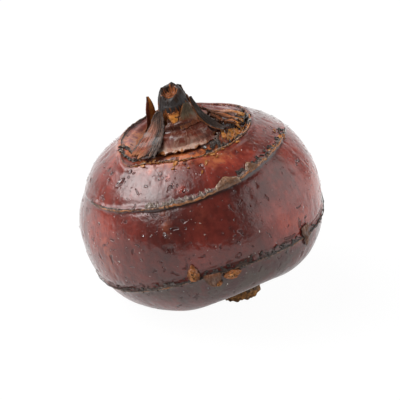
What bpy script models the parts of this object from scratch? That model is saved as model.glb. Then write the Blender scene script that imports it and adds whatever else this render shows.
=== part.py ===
# Water chestnut corm: a squat, glossy corm lying on its underside, with its shoot,
# the torn leaf sheaths round it, side buds on the lower ring and the root stub.
# Metres, +Z up. The origin is the middle of the flat spot that the corm rests on.

import math

import bmesh
import bpy
from mathutils import Matrix, Vector

MM = 0.001
GAP = 0.3 * MM  # between two pieces that touch

# Body: a turned profile, flattened at its poles, on an axis that leans to -X
BODY_RADIUS = 20.8 * MM
CROWN_HEIGHT = 16.4 * MM
BASE_HEIGHT = 14.6 * MM
CROWN_FULLNESS = 2.06  # exponent of the profile's curve, 2 would be an ellipse
BASE_FULLNESS = 2.6
LEAN = math.radians(14.3)
REST_CUT = 0.28 * MM  # depth of the flat spot underneath

# Leaf rings: the profile angle of each ring in degrees, as it wanders round the
# body: its mean, then the cosine and sine parts of its first three waves
CROWN_RING = (59.5, (-3.5, 2.0), (0.0, 0.6), (0.0, 0.0))
SHOULDER_RING = (32.9, (2.7, -1.6), (0.0, -1.2), (0.7, -0.8))
BASE_RING = (-11.5, (3.2, -1.5), (-2.0, -0.8), (-0.2, 2.0))
ARC_PER_RADIAN = 19.5 * MM  # distance along the profile for a radian of its angle

# Relief at the rings: height, distance above the ring and spread of each swelling
SHOULDER_RELIEF = ((0.36, 0.20, 0.42), (-0.26, 1.10, 0.50), (-0.22, -0.70, 0.40))
BASE_RELIEF = ((0.22, 0.00, 0.40), (-0.20, 0.85, 0.45))
BASE_RING_AZIMUTH = math.radians(-75)  # where the lower ring stands out most
CROWN_RELIEF = ((0.22, -0.55, 0.60),)

# The hollow inside the crown ring, that the shoot stands in, and the bay of its
# edge round the foot of the left sheath: azimuth, spread and depth in degrees
FLOOR_HEIGHT = 13.5 * MM
CREVICE_DEPTH = 1.5 * MM
CREVICE_AZIMUTH = math.radians(-75)
CROWN_BAY = (-138, 20, -5.5)

# Broad swellings and hollows: azimuth and profile angle in degrees, spread in
# degrees each way, height in mm
SWELLINGS = (
    (-69, -54, 24, 19, -2.2),
    (0, -90, 999, 16, -0.2),
    (170, 26, 26, 9, -0.4),
    (138, 52, 20, 9, -0.4),
    (95, -12, 45, 35, 0.25),
    (62, 52, 26, 12, -0.75),
    (0, -12, 18, 8, -0.3),
    (-164, -28, 22, 12, -0.3),
    (142, -64, 24, 12, 0.35),
)

COLUMNS = 96
ROWS_BETWEEN_RINGS = (10, 12, 11, 12)  # underside, waist, shoulder, crown

# Shoot: a turned horn with a broken, hollow tip, whose foot spreads into the neck
SHOOT_X = 0.25 * MM  # its axis stands this far from the body's
SHOOT_PROFILE = (
    (7.4, 0.32),
    (7.3, 0.42),
    (6.2, 0.8),
    (4.9, 1.6),
    (3.9, 2.7),
    (3.1, 3.9),
    (2.5, 4.7),
    (2.2, 5.4),
    (2.05, 6.6),
    (1.8, 7.4),
    (1.35, 7.85),
    (1.0, 7.6),
    (0.7, 6.8),
)  # radius and height above the floor in mm, outside first, then the hollow tip
SHOOT_SIDES = 28
SLANT_START = 5.6 * MM  # height above the floor where the slant of the tip begins
SLANT_FULL = 7.4 * MM
TIP_SLOPE = 0.42  # the tip is broken on a slant, lower towards -Y

# Leaf sheaths round the shoot. Each station from foot to tip is the azimuth round
# the shoot in degrees, then radius, height above the floor and half width in mm.
SHEATH_THICKNESS = 0.65 * MM
SHEATHS = {
    "sheath_front": (
        (-77, 7.9, 0.95, 4.1),
        (-76, 6.3, 1.5, 3.5),
        (-74, 4.9, 2.5, 2.9),
        (-68, 3.9, 3.8, 2.1),
        (-58, 3.4, 5.0, 1.2),
        (-48, 3.15, 6.2, 0.35),
    ),
    "sheath_left": (
        (-127, 11.0, 1.0, 2.8),
        (-131, 9.4, 1.1, 2.7),
        (-136, 7.5, 1.45, 2.3),
        (-141, 5.5, 2.25, 1.8),
        (-145, 4.35, 3.3, 1.3),
        (-148, 3.6, 4.5, 0.9),
        (-150, 3.1, 5.4, 0.4),
    ),
    "sheath_right": (
        (-30, 8.8, 0.95, 1.2),
        (-27, 7.0, 1.5, 1.5),
        (-23, 5.3, 2.5, 1.4),
        (-16, 4.1, 3.8, 1.0),
        (-10, 3.5, 5.0, 0.7),
        (-6, 3.2, 6.2, 0.3),
    ),
    "sheath_back": (
        (100, 6.6, 1.35, 4.9),
        (98, 5.0, 2.5, 4.2),
        (90, 3.9, 3.65, 3.2),
        (78, 3.3, 5.0, 2.0),
        (68, 3.05, 6.4, 1.0),
        (60, 2.95, 7.6, 0.3),
    ),
    "sheath_sliver": (
        (170, 5.9, 1.6, 0.9),
        (172, 4.8, 2.5, 0.8),
        (175, 4.2, 4.0, 0.9),
        (181, 3.8, 5.6, 1.0),
        (187, 3.4, 7.0, 0.7),
        (190, 3.0, 8.3, 0.2),
    ),
    "strand_back": (
        (30, 4.6, 2.75, 0.5),
        (20, 6.4, 1.6, 0.6),
        (7, 8.8, 1.3, 0.6),
        (-4, 11.0, 0.95, 0.7),
    ),
    "strand_middle": (
        (12, 5.0, 2.4, 0.5),
        (5, 6.9, 1.4, 0.5),
        (-5, 9.2, 1.0, 0.5),
        (-13, 11.1, 0.8, 0.5),
    ),
    "strand_front": (
        (-2, 5.4, 2.0, 0.4),
        (-8, 7.2, 1.1, 0.4),
        (-15, 9.4, 0.85, 0.4),
        (-22, 11.0, 0.7, 0.4),
    ),
}
SHEATH_ROWS = 14
SHEATH_COLUMNS = 8

# Scales that lie on the skin: azimuth, profile angles of root and tip in degrees,
# half width in mm
SCALE_THICKNESS = 0.6 * MM
SCALE_LIFT = 0.42 * MM  # the body's facets stand a little off its true curve
SKIN_SCALES = {
    "scale_shoulder": (-66.0, 34.2, 40.0, 2.0),
    "scale_lower": (-86.4, -5.0, -13.0, 1.0),
    "scale_lower_right": (-37.5, -6.0, -17.0, 1.3),
}
SCALE_ROWS = 7
SCALE_COLUMNS = 8

# Side buds on the lower ring: azimuth and profile angle in degrees, half width
# round the body, half width along the profile and height in mm
SIDE_BUDS = {
    "side_bud_left": (-94.5, -4.0, 1.1, 1.1, 1.3),
    "side_bud_right": (-77.5, -8.0, 1.4, 0.9, 1.1),
}
BUD_SIDES = 14
BUD_ROWS = 8
BUD_LIFT = 0.36 * MM
BUD_FOOT = 0.12 * MM  # thickness of a bud's rim under its widest line

# Root stub: the broken end of the runner, under the body
STUB_X = 3.4 * MM
STUB_Y = -3.9 * MM
STUB_RADII = (3.6 * MM, 2.5 * MM)
STUB_TURN = math.radians(22)  # turn of its wider radius from the X axis
STUB_DIRECTION = Vector((0.10, -0.42, -0.90)).normalized()
STUB_LENGTH = 2.6 * MM
STUB_SIDES = 24
STUB_RINGS = 4

# Colours are linear red, green and blue, followed by the roughness
FINISHES = {
    "skin": ((0.120, 0.018, 0.011), 0.22),
    "shoot": ((0.040, 0.032, 0.028), 0.5),
    "sheath": ((0.130, 0.050, 0.030), 0.55),
    "strand": ((0.290, 0.110, 0.045), 0.5),
    "scale": ((0.110, 0.055, 0.035), 0.5),
    "bud": ((0.420, 0.180, 0.065), 0.6),
    "stub": ((0.060, 0.035, 0.020), 0.8),
}


def clear_scene():
    for item in list(bpy.data.objects):
        bpy.data.objects.remove(item, do_unlink=True)


def make_material(name):
    colour, roughness = FINISHES[name]
    material = bpy.data.materials.new(name)
    material.use_nodes = True
    shader = material.node_tree.nodes["Principled BSDF"]
    shader.inputs["Base Color"].default_value = (*colour, 1.0)
    shader.inputs["Roughness"].default_value = roughness
    shader.inputs["Metallic"].default_value = 0.0
    return material


def add_object(name, mesh_data, material, parent):
    mesh = bpy.data.meshes.new(name)
    mesh_data.to_mesh(mesh)
    mesh_data.free()
    mesh.shade_smooth()
    mesh.set_sharp_from_angle(angle=math.radians(50))
    mesh.materials.append(material)
    item = bpy.data.objects.new(name, mesh)
    bpy.context.scene.collection.objects.link(item)
    item.parent = parent
    return item


def smooth_step(low, high, value):
    share = min(max((value - low) / (high - low), 0.0), 1.0)
    return share * share * (3 - 2 * share)


def bell(value, middle, spread):
    return math.exp(-(((value - middle) / spread) ** 2))


def turn_between(azimuth, centre):
    """Turn in degrees from a centre, in degrees, to an azimuth in radians."""
    return (math.degrees(azimuth) - centre + 180) % 360 - 180


def ring_angle(ring, azimuth):
    """Profile angle of a leaf ring at an azimuth, in radians."""
    degrees = ring[0]
    for wave, (cosine, sine) in enumerate(ring[1:], start=1):
        degrees += cosine * math.cos(wave * azimuth) + sine * math.sin(wave * azimuth)
    return math.radians(degrees)


def crown_angle(azimuth):
    """Profile angle of the crown ring, with its bay, in radians."""
    centre, spread, depth = CROWN_BAY
    return ring_angle(CROWN_RING, azimuth) + math.radians(depth) * bell(
        turn_between(azimuth, centre), 0, spread
    )


def profile_point(angle):
    """Radius and height of the plain profile, and its outward normal there."""
    height, power = (CROWN_HEIGHT, CROWN_FULLNESS) if angle > 0 else (BASE_HEIGHT, BASE_FULLNESS)
    cosine = max(math.cos(angle), 0.0)
    sine = abs(math.sin(angle))
    side = 1 if angle > 0 else -1
    radius = BODY_RADIUS * cosine ** (2 / power)
    rise = side * height * sine ** (2 / power)
    out = (radius / BODY_RADIUS) ** (power - 1) / BODY_RADIUS
    up = side * (abs(rise) / height) ** (power - 1) / height
    length = math.hypot(out, up)
    return radius, rise, out / length, up / length


def ring_relief(above_ring, swellings):
    above = above_ring * ARC_PER_RADIAN / MM
    return sum(height * bell(above, middle, spread) for height, middle, spread in swellings)


def skin_relief(azimuth, angle):
    """Height of the skin over the plain profile, in metres."""
    relief = ring_relief(angle - ring_angle(SHOULDER_RING, azimuth), SHOULDER_RELIEF)
    strength = 0.3 + 0.7 * (0.5 + 0.5 * math.cos(azimuth - BASE_RING_AZIMUTH)) ** 2
    relief += strength * ring_relief(angle - ring_angle(BASE_RING, azimuth), BASE_RELIEF)
    relief += ring_relief(angle - crown_angle(azimuth), CROWN_RELIEF)
    for centre, level, spread_round, spread_up, height in SWELLINGS:
        turn = turn_between(azimuth, centre)
        rise = math.degrees(angle) - level
        relief += height * bell(turn, 0, spread_round) * bell(rise, 0, spread_up)
    return relief * MM


def body_point(azimuth, angle, lift=0.0):
    """Point of the skin at an azimuth and a profile angle, lifted off it by lift."""
    radius, rise, out, up = profile_point(angle)
    relief = skin_relief(azimuth, angle)
    crown = crown_angle(azimuth)
    if angle > crown:
        rim_radius, rim_rise = profile_point(crown)[:2]
        share = 1 - radius / rim_radius
        facing = 0.5 + 0.5 * math.cos(azimuth - CREVICE_AZIMUTH)
        drop = CREVICE_DEPTH * (0.2 + 0.8 * facing) * smooth_step(0.0, 0.09, share)
        flat = smooth_step(0.11, 0.29, share)
        rise = (rim_rise - drop) * (1 - flat) + FLOOR_HEIGHT * flat
        relief *= 1 - smooth_step(0.0, 0.3, share)
        out, up = 0.0, 1.0
    offset = relief + lift
    return Vector((
        (radius + out * offset) * math.cos(azimuth),
        (radius + out * offset) * math.sin(azimuth),
        rise + up * offset,
    ))


def body_rows(azimuth):
    """Profile angles of the body's rows, closer together near each ring."""
    stops = [-math.pi / 2]
    stops += [ring_angle(BASE_RING, azimuth), ring_angle(SHOULDER_RING, azimuth)]
    stops.append(crown_angle(azimuth))
    stops.append(math.pi / 2)
    rows = []
    for low, high, count in zip(stops, stops[1:], ROWS_BETWEEN_RINGS):
        for step in range(count):
            share = 0.5 - 0.5 * math.cos(math.pi * step / count)
            rows.append(low + (high - low) * share)
    return rows + [stops[-1]]


def make_body(material, parent):
    """The corm's body, turned as a ball and then shaped row by row."""
    row_count = sum(ROWS_BETWEEN_RINGS)
    mesh_data = bmesh.new()
    bmesh.ops.create_uvsphere(mesh_data, u_segments=COLUMNS, v_segments=row_count, radius=1.0)
    for vertex in mesh_data.verts:
        x, y, z = vertex.co
        azimuth = math.atan2(y, x) if math.hypot(x, y) > 0.001 else 0.0
        row = round((math.asin(max(min(z, 1.0), -1.0)) / math.pi + 0.5) * row_count)
        vertex.co = body_point(azimuth, body_rows(azimuth)[row])
    return add_object("corm_body", mesh_data, material, parent)


def cut_flat(item, level):
    """Cut a piece off at a height in the world and close the cut with one flat face."""
    to_local = item.matrix_world.inverted()
    normal = (to_local.to_3x3() @ Vector((0, 0, 1))).normalized()
    mesh_data = bmesh.new()
    mesh_data.from_mesh(item.data)
    geometry = mesh_data.verts[:] + mesh_data.edges[:] + mesh_data.faces[:]
    cut = bmesh.ops.bisect_plane(
        mesh_data,
        geom=geometry,
        dist=1e-7,
        plane_co=to_local @ Vector((0, 0, level)),
        plane_no=normal,
        clear_inner=True,
    )
    edges = [part for part in cut["geom_cut"] if isinstance(part, bmesh.types.BMEdge)]
    corners = {vertex for edge in edges for vertex in edge.verts}
    bmesh.ops.contextual_create(mesh_data, geom=edges)
    bmesh.ops.recalc_face_normals(mesh_data, faces=mesh_data.faces)
    middle = sum((vertex.co for vertex in corners), Vector()) / len(corners)
    mesh_data.to_mesh(item.data)
    mesh_data.free()
    return item.matrix_world @ middle


def make_shoot(material, parent):
    """The shoot: a horn spun from its profile, broken off on a slant."""
    mesh_data = bmesh.new()
    points = [(0.0, SHOOT_PROFILE[0][1]), *SHOOT_PROFILE, (0.0, SHOOT_PROFILE[-1][1])]
    vertices = [mesh_data.verts.new((radius * MM, 0, height * MM)) for radius, height in points]
    edges = [mesh_data.edges.new(pair) for pair in zip(vertices, vertices[1:])]
    bmesh.ops.spin(
        mesh_data,
        geom=vertices + edges,
        cent=(0, 0, 0),
        axis=(0, 0, 1),
        angle=math.tau,
        steps=SHOOT_SIDES,
        use_merge=True,
    )
    bmesh.ops.remove_doubles(mesh_data, verts=mesh_data.verts, dist=1e-6)
    bmesh.ops.recalc_face_normals(mesh_data, faces=mesh_data.faces)
    for vertex in mesh_data.verts:
        slant = smooth_step(SLANT_START, SLANT_FULL, vertex.co.z)
        vertex.co.z += TIP_SLOPE * vertex.co.y * slant + FLOOR_HEIGHT
        vertex.co.x += SHOOT_X
    return add_object("shoot_bud", mesh_data, material, parent)


def smooth_station(stations, share):
    """Station at a share of the way from the first to the last, on a smooth curve."""
    place = share * (len(stations) - 1)
    index = min(int(place), len(stations) - 2)
    part = place - index
    before = stations[max(index - 1, 0)]
    start, end = stations[index], stations[index + 1]
    after = stations[min(index + 2, len(stations) - 1)]
    values = []
    for a, b, c, d in zip(before, start, end, after):
        values.append(0.5 * (
            2 * b
            + (c - a) * part
            + (2 * a - 5 * b + 4 * c - d) * part ** 2
            + (3 * b - a - 3 * c + d) * part ** 3
        ))
    return values


def sheet_grid(columns, rows, place):
    """A grid whose point at (across, along), from -1 to 1 and 0 to 1, is put by place."""
    mesh_data = bmesh.new()
    bmesh.ops.create_grid(mesh_data, x_segments=columns, y_segments=rows, size=1.0)
    for vertex in mesh_data.verts:
        across = vertex.co.x
        along = 0.5 + 0.5 * vertex.co.y
        vertex.co = place(across, along)
    return mesh_data


def add_thickness(item, thickness, offset):
    modifier = item.modifiers.new("thickness", "SOLIDIFY")
    modifier.thickness = thickness
    modifier.offset = offset
    modifier.use_even_offset = True


def make_sheath(name, stations, material, parent):
    """A leaf sheath or strand, bent round the shoot's axis."""
    def place(across, along):
        azimuth, radius, height, half_width = smooth_station(stations, along)
        turn = math.radians(azimuth) + across * half_width / radius
        x = radius * math.cos(turn) * MM + SHOOT_X
        y = radius * math.sin(turn) * MM
        return Vector((x, y, height * MM + FLOOR_HEIGHT))

    mesh_data = sheet_grid(SHEATH_COLUMNS, SHEATH_ROWS, place)
    item = add_object(name, mesh_data, material, parent)
    add_thickness(item, SHEATH_THICKNESS, 0.0)
    return item


def make_scale(name, azimuth, root, tip, half_width, material, parent):
    """A pointed scale that lies along the skin."""
    def place(across, along):
        angle = math.radians(root + (tip - root) * along)
        radius = profile_point(angle)[0] / MM
        width = half_width * (1 - along ** 2.2) + 0.2
        turn = math.radians(azimuth) + across * width / radius
        return body_point(turn, angle, SCALE_LIFT)

    mesh_data = sheet_grid(SCALE_COLUMNS, SCALE_ROWS, place)
    item = add_object(name, mesh_data, material, parent)
    outward = 1.0 if tip > root else -1.0
    add_thickness(item, SCALE_THICKNESS, outward)
    return item


def make_side_bud(name, azimuth, angle, half_round, half_up, height, material, parent):
    """A low knob on the skin: a ball whose under half is pressed on to it."""
    mesh_data = bmesh.new()
    bmesh.ops.create_uvsphere(mesh_data, u_segments=BUD_SIDES, v_segments=BUD_ROWS, radius=1.0)
    level = math.radians(angle)
    radius = profile_point(level)[0]
    for vertex in mesh_data.verts:
        turn = math.radians(azimuth) + vertex.co.x * half_round * MM / radius
        rise = level + vertex.co.y * half_up * MM / ARC_PER_RADIAN
        outward = vertex.co.z * height * MM if vertex.co.z > 0 else vertex.co.z * BUD_FOOT
        vertex.co = body_point(turn, rise, BUD_LIFT + BUD_FOOT + outward)
    return add_object(name, mesh_data, material, parent)


def underside_height(x, y):
    """Height of the body's underside over a point, by halving the profile angle."""
    azimuth = math.atan2(y, x)
    wanted = math.hypot(x, y)
    low, high = -math.pi / 2, 0.0
    for _ in range(40):
        middle = 0.5 * (low + high)
        point = body_point(azimuth, middle)
        if math.hypot(point.x, point.y) < wanted:
            low = middle
        else:
            high = middle
    return body_point(azimuth, low).z


def make_root_stub(material, parent):
    """The root stub: an oval peg from the underside, its head fitted to the skin."""
    mesh_data = bmesh.new()
    bmesh.ops.create_uvsphere(mesh_data, u_segments=STUB_SIDES, v_segments=2 * STUB_RINGS, radius=1.0)
    for vertex in mesh_data.verts:
        x, y, z = vertex.co
        spread = math.hypot(x, y)
        latitude = math.acos(min(spread, 1.0)) / (math.pi / 2)
        share = 1 - latitude
        across = Vector((x, y)) / spread if spread > 0.001 else Vector((0, 0))
        offset = Vector((STUB_RADII[0] * across.x, STUB_RADII[1] * across.y)) * share
        offset.rotate(Matrix.Rotation(STUB_TURN, 2))
        foot = Vector((STUB_X + offset.x, STUB_Y + offset.y, 0))
        foot.z = underside_height(foot.x, foot.y) - GAP
        if z < -0.001 or share > 0.999:
            reach = STUB_LENGTH if z < -0.001 else 0.35 * STUB_LENGTH
            foot += STUB_DIRECTION * reach
        vertex.co = foot
    return add_object("root_stub", mesh_data, material, parent)


def lowest_height(item):
    return min((item.matrix_world @ vertex.co).z for vertex in item.data.vertices)


def main():
    clear_scene()
    finishes = {name: make_material(name) for name in FINISHES}
    axis = bpy.data.objects.new("corm_axis", None)
    bpy.context.scene.collection.objects.link(axis)
    axis.rotation_euler = (0, -LEAN, 0)
    bpy.context.view_layer.update()

    body = make_body(finishes["skin"], axis)
    make_shoot(finishes["shoot"], axis)
    for name, stations in SHEATHS.items():
        finish = "strand" if name.startswith("strand") else "sheath"
        make_sheath(name, stations, finishes[finish], axis)
    for name, values in SKIN_SCALES.items():
        make_scale(name, *values, finishes["scale"], axis)
    for name, values in SIDE_BUDS.items():
        make_side_bud(name, *values, finishes["bud"], axis)
    stub = make_root_stub(finishes["stub"], axis)

    bpy.context.view_layer.update()
    ground = lowest_height(body) + REST_CUT
    rest_spot = cut_flat(body, ground)
    cut_flat(stub, ground)
    axis.location = -Vector((rest_spot.x, rest_spot.y, ground))
    bpy.context.view_layer.update()


main()
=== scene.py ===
# Looks of a water chestnut corm: its glossy skin, ragged leaf rings, the broken shoot in torn
# sheaths, scales, side buds, root stub and drops of water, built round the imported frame.
# Shapes are worked out in mm in the corm's own leaning frame and end in metres in the row frame.

import math

import bpy
import numpy as np
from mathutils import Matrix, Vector


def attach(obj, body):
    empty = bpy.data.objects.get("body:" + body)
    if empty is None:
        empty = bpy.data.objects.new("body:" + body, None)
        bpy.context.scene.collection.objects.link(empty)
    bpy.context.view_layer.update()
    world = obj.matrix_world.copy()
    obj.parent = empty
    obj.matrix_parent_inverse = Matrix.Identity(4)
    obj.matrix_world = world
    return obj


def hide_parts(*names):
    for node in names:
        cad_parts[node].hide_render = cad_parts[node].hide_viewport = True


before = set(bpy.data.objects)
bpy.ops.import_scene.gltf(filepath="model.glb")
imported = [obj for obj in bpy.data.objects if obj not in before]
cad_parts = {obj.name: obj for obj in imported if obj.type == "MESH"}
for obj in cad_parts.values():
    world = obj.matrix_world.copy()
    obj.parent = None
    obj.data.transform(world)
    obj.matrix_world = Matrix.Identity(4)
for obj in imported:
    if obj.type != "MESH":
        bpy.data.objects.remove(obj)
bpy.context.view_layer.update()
print("frame loaded,", len(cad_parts), "nodes")

# The corm's form, as in its solids but with gentler leaf rings, which the ribbons below build up.
# A ring has its profile angle in degrees, then the cosine and sine of each wave round the body.
# A row of a ring's relief has its height, its place over the ring's line and its spread, in mm
corm = {
    "centre": (5.8688, -1.2908, 15.5149),  # middle of the body, mm in the row frame
    "lean": 14.3,  # degrees, towards -X
    "radius": 20.8,
    "crownHeight": 16.4,
    "baseHeight": 14.6,
    "crownFullness": 2.06,
    "baseFullness": 2.6,
    "arc": 19.5,  # mm along the profile for a radian of its angle
    "floor": 13.5,  # mm, of the hollow in the crown
    "crevice": 1.5,  # mm deep, round the hollow
    # Shares of the way from the crown's rim to its middle
    "creviceSide": (0, 0.09),
    "floorEdge": (0.11, 0.29),
    "smoothing": (0, 0.3),
    "creviceAzimuth": -75,
    "crownRing": (59.5, (-3.5, 2.0), (0.0, 0.6), (0.0, 0.0)),
    "shoulderRing": (32.9, (2.7, -1.6), (0.0, -1.2), (0.7, -0.8)),
    "baseRing": (-11.5, (3.2, -1.5), (-2.0, -0.8), (-0.2, 2.0)),
    "crownBay": (-138, 20, -5.5),  # azimuth, spread and depth in degrees
    "baseRingAzimuth": -75,
    "shoulderRelief": ((0.2, 0.15, 0.38), (-0.05, 1.1, 0.5), (-0.03, -0.7, 0.36)),
    "baseRelief": ((0.22, 0.0, 0.4), (-0.2, 0.85, 0.45)),
    "crownRelief": ((0.22, -0.55, 0.6),),
    "swellings": (
        (-69, -54, 24, 19, -2.2),
        (0, -90, 999, 16, -0.2),
        (170, 26, 26, 9, -0.4),
        (138, 52, 20, 9, -0.4),
        (95, -12, 45, 35, 0.25),
        (62, 52, 26, 12, -0.75),
        (0, -12, 18, 8, -0.3),
        (-164, -28, 22, 12, -0.3),
        (142, -64, 24, 12, 0.35),
    ),  # azimuth, profile angle, spread round and up in degrees, height in mm
}
lean = math.radians(corm["lean"])
cormAxes = np.array((
    (math.cos(lean), 0, math.sin(lean)),
    (0, 1, 0),
    (-math.sin(lean), 0, math.cos(lean)),
))  # its own x, y and z in the row frame


def toRow(points):
    return (np.asarray(points) @ cormAxes + corm["centre"]) * 0.001


def bell(value, middle, spread):
    return np.exp(-(((value - middle) / spread) ** 2))


def smoothStep(low, high, value):
    share = np.clip((value - low) / (high - low), 0, 1)
    return share * share * (3 - 2 * share)


def around(azimuth, centre, spread):  # 1 at a centre in degrees and less away from it
    turn = (np.degrees(azimuth) - centre + 180) % 360 - 180
    return bell(turn, 0, spread)


def splineShares(part):
    return (
        (1 - part) ** 3 / 6,
        (3 * part ** 3 - 6 * part ** 2 + 4) / 6,
        (-3 * part ** 3 + 3 * part ** 2 + 3 * part + 1) / 6,
        part ** 3 / 6,
    )


def softNoise(x, y, across, up, seed):  # about -1 to 1, x from 0 to 1 closes on itself
    table = np.random.default_rng(seed).uniform(-1.7, 1.7, (up + 3, across))
    a = (x % 1.0) * across
    b = np.clip(y, 0, 0.99999) * up
    columnStart, rowStart = np.floor(a).astype(int), np.floor(b).astype(int)
    columnShares, rowShares = splineShares(a - columnStart), splineShares(b - rowStart)
    total = 0
    for i in range(4):
        for j in range(4):
            height = table[rowStart + j, (columnStart + i - 1) % across]
            total = total + columnShares[i] * rowShares[j] * height
    return total


def skinNoise(azimuth, angle, across, up, seed):
    return softNoise(azimuth / math.tau, angle / math.pi + 0.5, across, up, seed)


def raggedLine(x, cells, seed):  # jagged, 0 to 1, x from 0 to 1 closes on itself
    table = np.random.default_rng(seed).uniform(0, 1, cells)
    place = (x % 1.0) * cells
    start = np.floor(place).astype(int)
    part = place - start
    return table[start % cells] * (1 - part) + table[(start + 1) % cells] * part


def ringAngle(name, azimuth):  # profile angle of a ring's line, in radians
    degrees, *waves = corm[name]
    for wave, (cosine, sine) in enumerate(waves, start=1):
        degrees = degrees + cosine * np.cos(wave * azimuth) + sine * np.sin(wave * azimuth)
    angle = np.radians(degrees)
    if name != "crownRing":
        return angle
    centre, spread, depth = corm["crownBay"]
    return angle + math.radians(depth) * around(azimuth, centre, spread)


def halfForm(upper):  # height and fullness of the body's upper or lower half
    height = np.where(upper, corm["crownHeight"], corm["baseHeight"])
    return height, np.where(upper, corm["crownFullness"], corm["baseFullness"])


def profile(angle):  # radius, height and the outward normal of the plain profile
    upper = angle > 0
    height, power = halfForm(upper)
    radius = corm["radius"] * np.clip(np.cos(angle), 0, None) ** (2 / power)
    rise = height * np.abs(np.sin(angle)) ** (2 / power)
    out = (radius / corm["radius"]) ** (power - 1) / corm["radius"]
    up = (rise / height) ** (power - 1) / height
    side = np.where(upper, 1.0, -1.0)
    length = np.hypot(out, up)
    return radius, side * rise, out / length, side * up / length


# Fine relief of the skin: cells round and up, height in mm and seed of each layer
skinLayers = {
    "lumps": (13, 6, 0.16, 11),
    "dents": (44, 20, 0.06, 12),
    "ripples": (120, 30, 0.022, 13),
    "ridges": (200, 12, 0.006, 14),
}
# Lips of the rings: heights in mm, and how much of the wandering each ring's line takes
lip = {
    "raggedness": 0.26,
    "ledge": 0.1,
    "crease": -0.22,
    "wander": {"crownRing": 0.6, "shoulderRing": 1.0, "baseRing": 1.0},
}
# Where a feature fades round the body: the share lost, then azimuth and spread in degrees
fades = {
    "shoulderRelief": ((0.8, 30, 32), (0.75, -178, 24)),
    "ledge": ((0.9, -172, 34), (0.9, 30, 32)),
    "crease": ((0.8, -155, 38),),
    "crevice": ((0.95, -158, 44),),
    "crownGrooveShade": ((0.65, -155, 42), (0.7, 62, 44)),
    "shoulderLipShadow": ((0.55, -140, 26), (0.95, -178, 24), (0.85, 30, 34)),
    "hollow": ((0.9, -170, 52),),
}


def faded(values, azimuth, feature):
    for share, centre, spread in fades[feature]:
        values = values * (1 - share * around(azimuth, centre, spread))
    return values


def lineNoise(azimuth, cells, seed):  # varies round the body only
    return skinNoise(azimuth, 0 * azimuth, cells, 1, seed)


def ringDistances(azimuth, angle):  # mm above each ring, whose lines wander a little
    wobble = lip["raggedness"] * (lineNoise(azimuth, 46, 21) + 0.5 * lineNoise(azimuth, 150, 22))
    return [
        (angle - ringAngle(name, azimuth)) * corm["arc"] + share * wobble
        for name, share in lip["wander"].items()
    ]


def baseStrength(azimuth):  # the lower ring is boldest at the front
    turn = azimuth - math.radians(corm["baseRingAzimuth"])
    return 0.3 + 0.7 * (0.5 + 0.5 * np.cos(turn)) ** 2


def ringRelief(name, above):
    return sum(height * bell(above, middle, spread) for height, middle, spread in corm[name])


def skinRelief(azimuth, angle):
    aboveCrown, aboveShoulder, aboveBase = ringDistances(azimuth, angle)
    relief = faded(ringRelief("shoulderRelief", aboveShoulder), azimuth, "shoulderRelief")
    relief = relief + baseStrength(azimuth) * ringRelief("baseRelief", aboveBase)
    relief = relief + ringRelief("crownRelief", aboveCrown)
    for centre, level, spreadRound, spreadUp, height in corm["swellings"]:
        swelling = height * around(azimuth, centre, spreadRound) * bell(np.degrees(angle), level, spreadUp)
        relief = relief + swelling
    ledge = faded(lip["ledge"], azimuth, "ledge") * smoothStep(-0.3, -0.1, aboveShoulder)
    relief = relief + ledge * (1 - smoothStep(0.1, 1.1, aboveShoulder))
    relief = relief + faded(lip["crease"], azimuth, "crease") * bell(aboveCrown, 0.16, 0.16)
    fade = np.clip(np.cos(angle), 0, 1) ** 0.7
    for across, up, height, seed in skinLayers.values():
        relief = relief + fade * height * skinNoise(azimuth, angle, across, up, seed)
    return relief


def skinPoint(azimuth, angle, lift=0.0):
    radius, rise, out, up = profile(angle)
    relief = skinRelief(azimuth, angle)
    crown = ringAngle("crownRing", azimuth)
    rimRadius, rimRise = profile(crown)[:2]
    inside = angle > crown
    share = np.where(inside, 1 - radius / rimRadius, 0)
    facing = 0.5 + 0.5 * np.cos(azimuth - math.radians(corm["creviceAzimuth"]))
    shallow = faded(1.0, azimuth, "crevice")
    drop = corm["crevice"] * (0.2 + 0.8 * facing) * shallow * smoothStep(*corm["creviceSide"], share)
    flat = smoothStep(*corm["floorEdge"], share)
    rise = np.where(inside, (rimRise - drop) * (1 - flat) + corm["floor"] * flat, rise)
    relief = np.where(inside, relief * (1 - smoothStep(*corm["smoothing"], share)), relief)
    out, up = np.where(inside, 0.0, out), np.where(inside, 1.0, up)
    offset = relief + lift
    return np.stack((
        (radius + out * offset) * np.cos(azimuth),
        (radius + out * offset) * np.sin(azimuth),
        rise + up * offset,
    ), axis=1)


def onSkin(azimuth, angle, roundWay, upWay, lift):  # offsets in mm round and up from a spot in degrees
    spotRadius = np.maximum(profile(np.asarray(math.radians(angle)))[0], 3.0)
    turns = math.radians(azimuth) + roundWay / spotRadius
    angles = math.radians(angle) + upWay / corm["arc"]
    return skinPoint(turns, angles, lift)


def turned(x, y, degrees):
    turn = math.radians(degrees)
    return x * math.cos(turn) - y * math.sin(turn), x * math.sin(turn) + y * math.cos(turn)


# Mesh helpers
def readPoints(mesh):
    points = np.empty(len(mesh.vertices) * 3)
    mesh.vertices.foreach_get("co", points)
    return points.reshape(-1, 3)


def writePoints(mesh, points):
    mesh.vertices.foreach_set("co", np.asarray(points, dtype=np.float32).ravel())
    mesh.update()


def selectOnly(*items):
    bpy.ops.object.select_all(action="DESELECT")
    for item in items:
        item.select_set(True)
    bpy.context.view_layer.objects.active = items[0]


def addModifier(piece, kind, **settings):
    modifier = piece.modifiers.new(kind.lower(), kind)
    for name, value in settings.items():
        setattr(modifier, name, value)
    selectOnly(piece)
    bpy.ops.object.modifier_apply(modifier=modifier.name)


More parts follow.
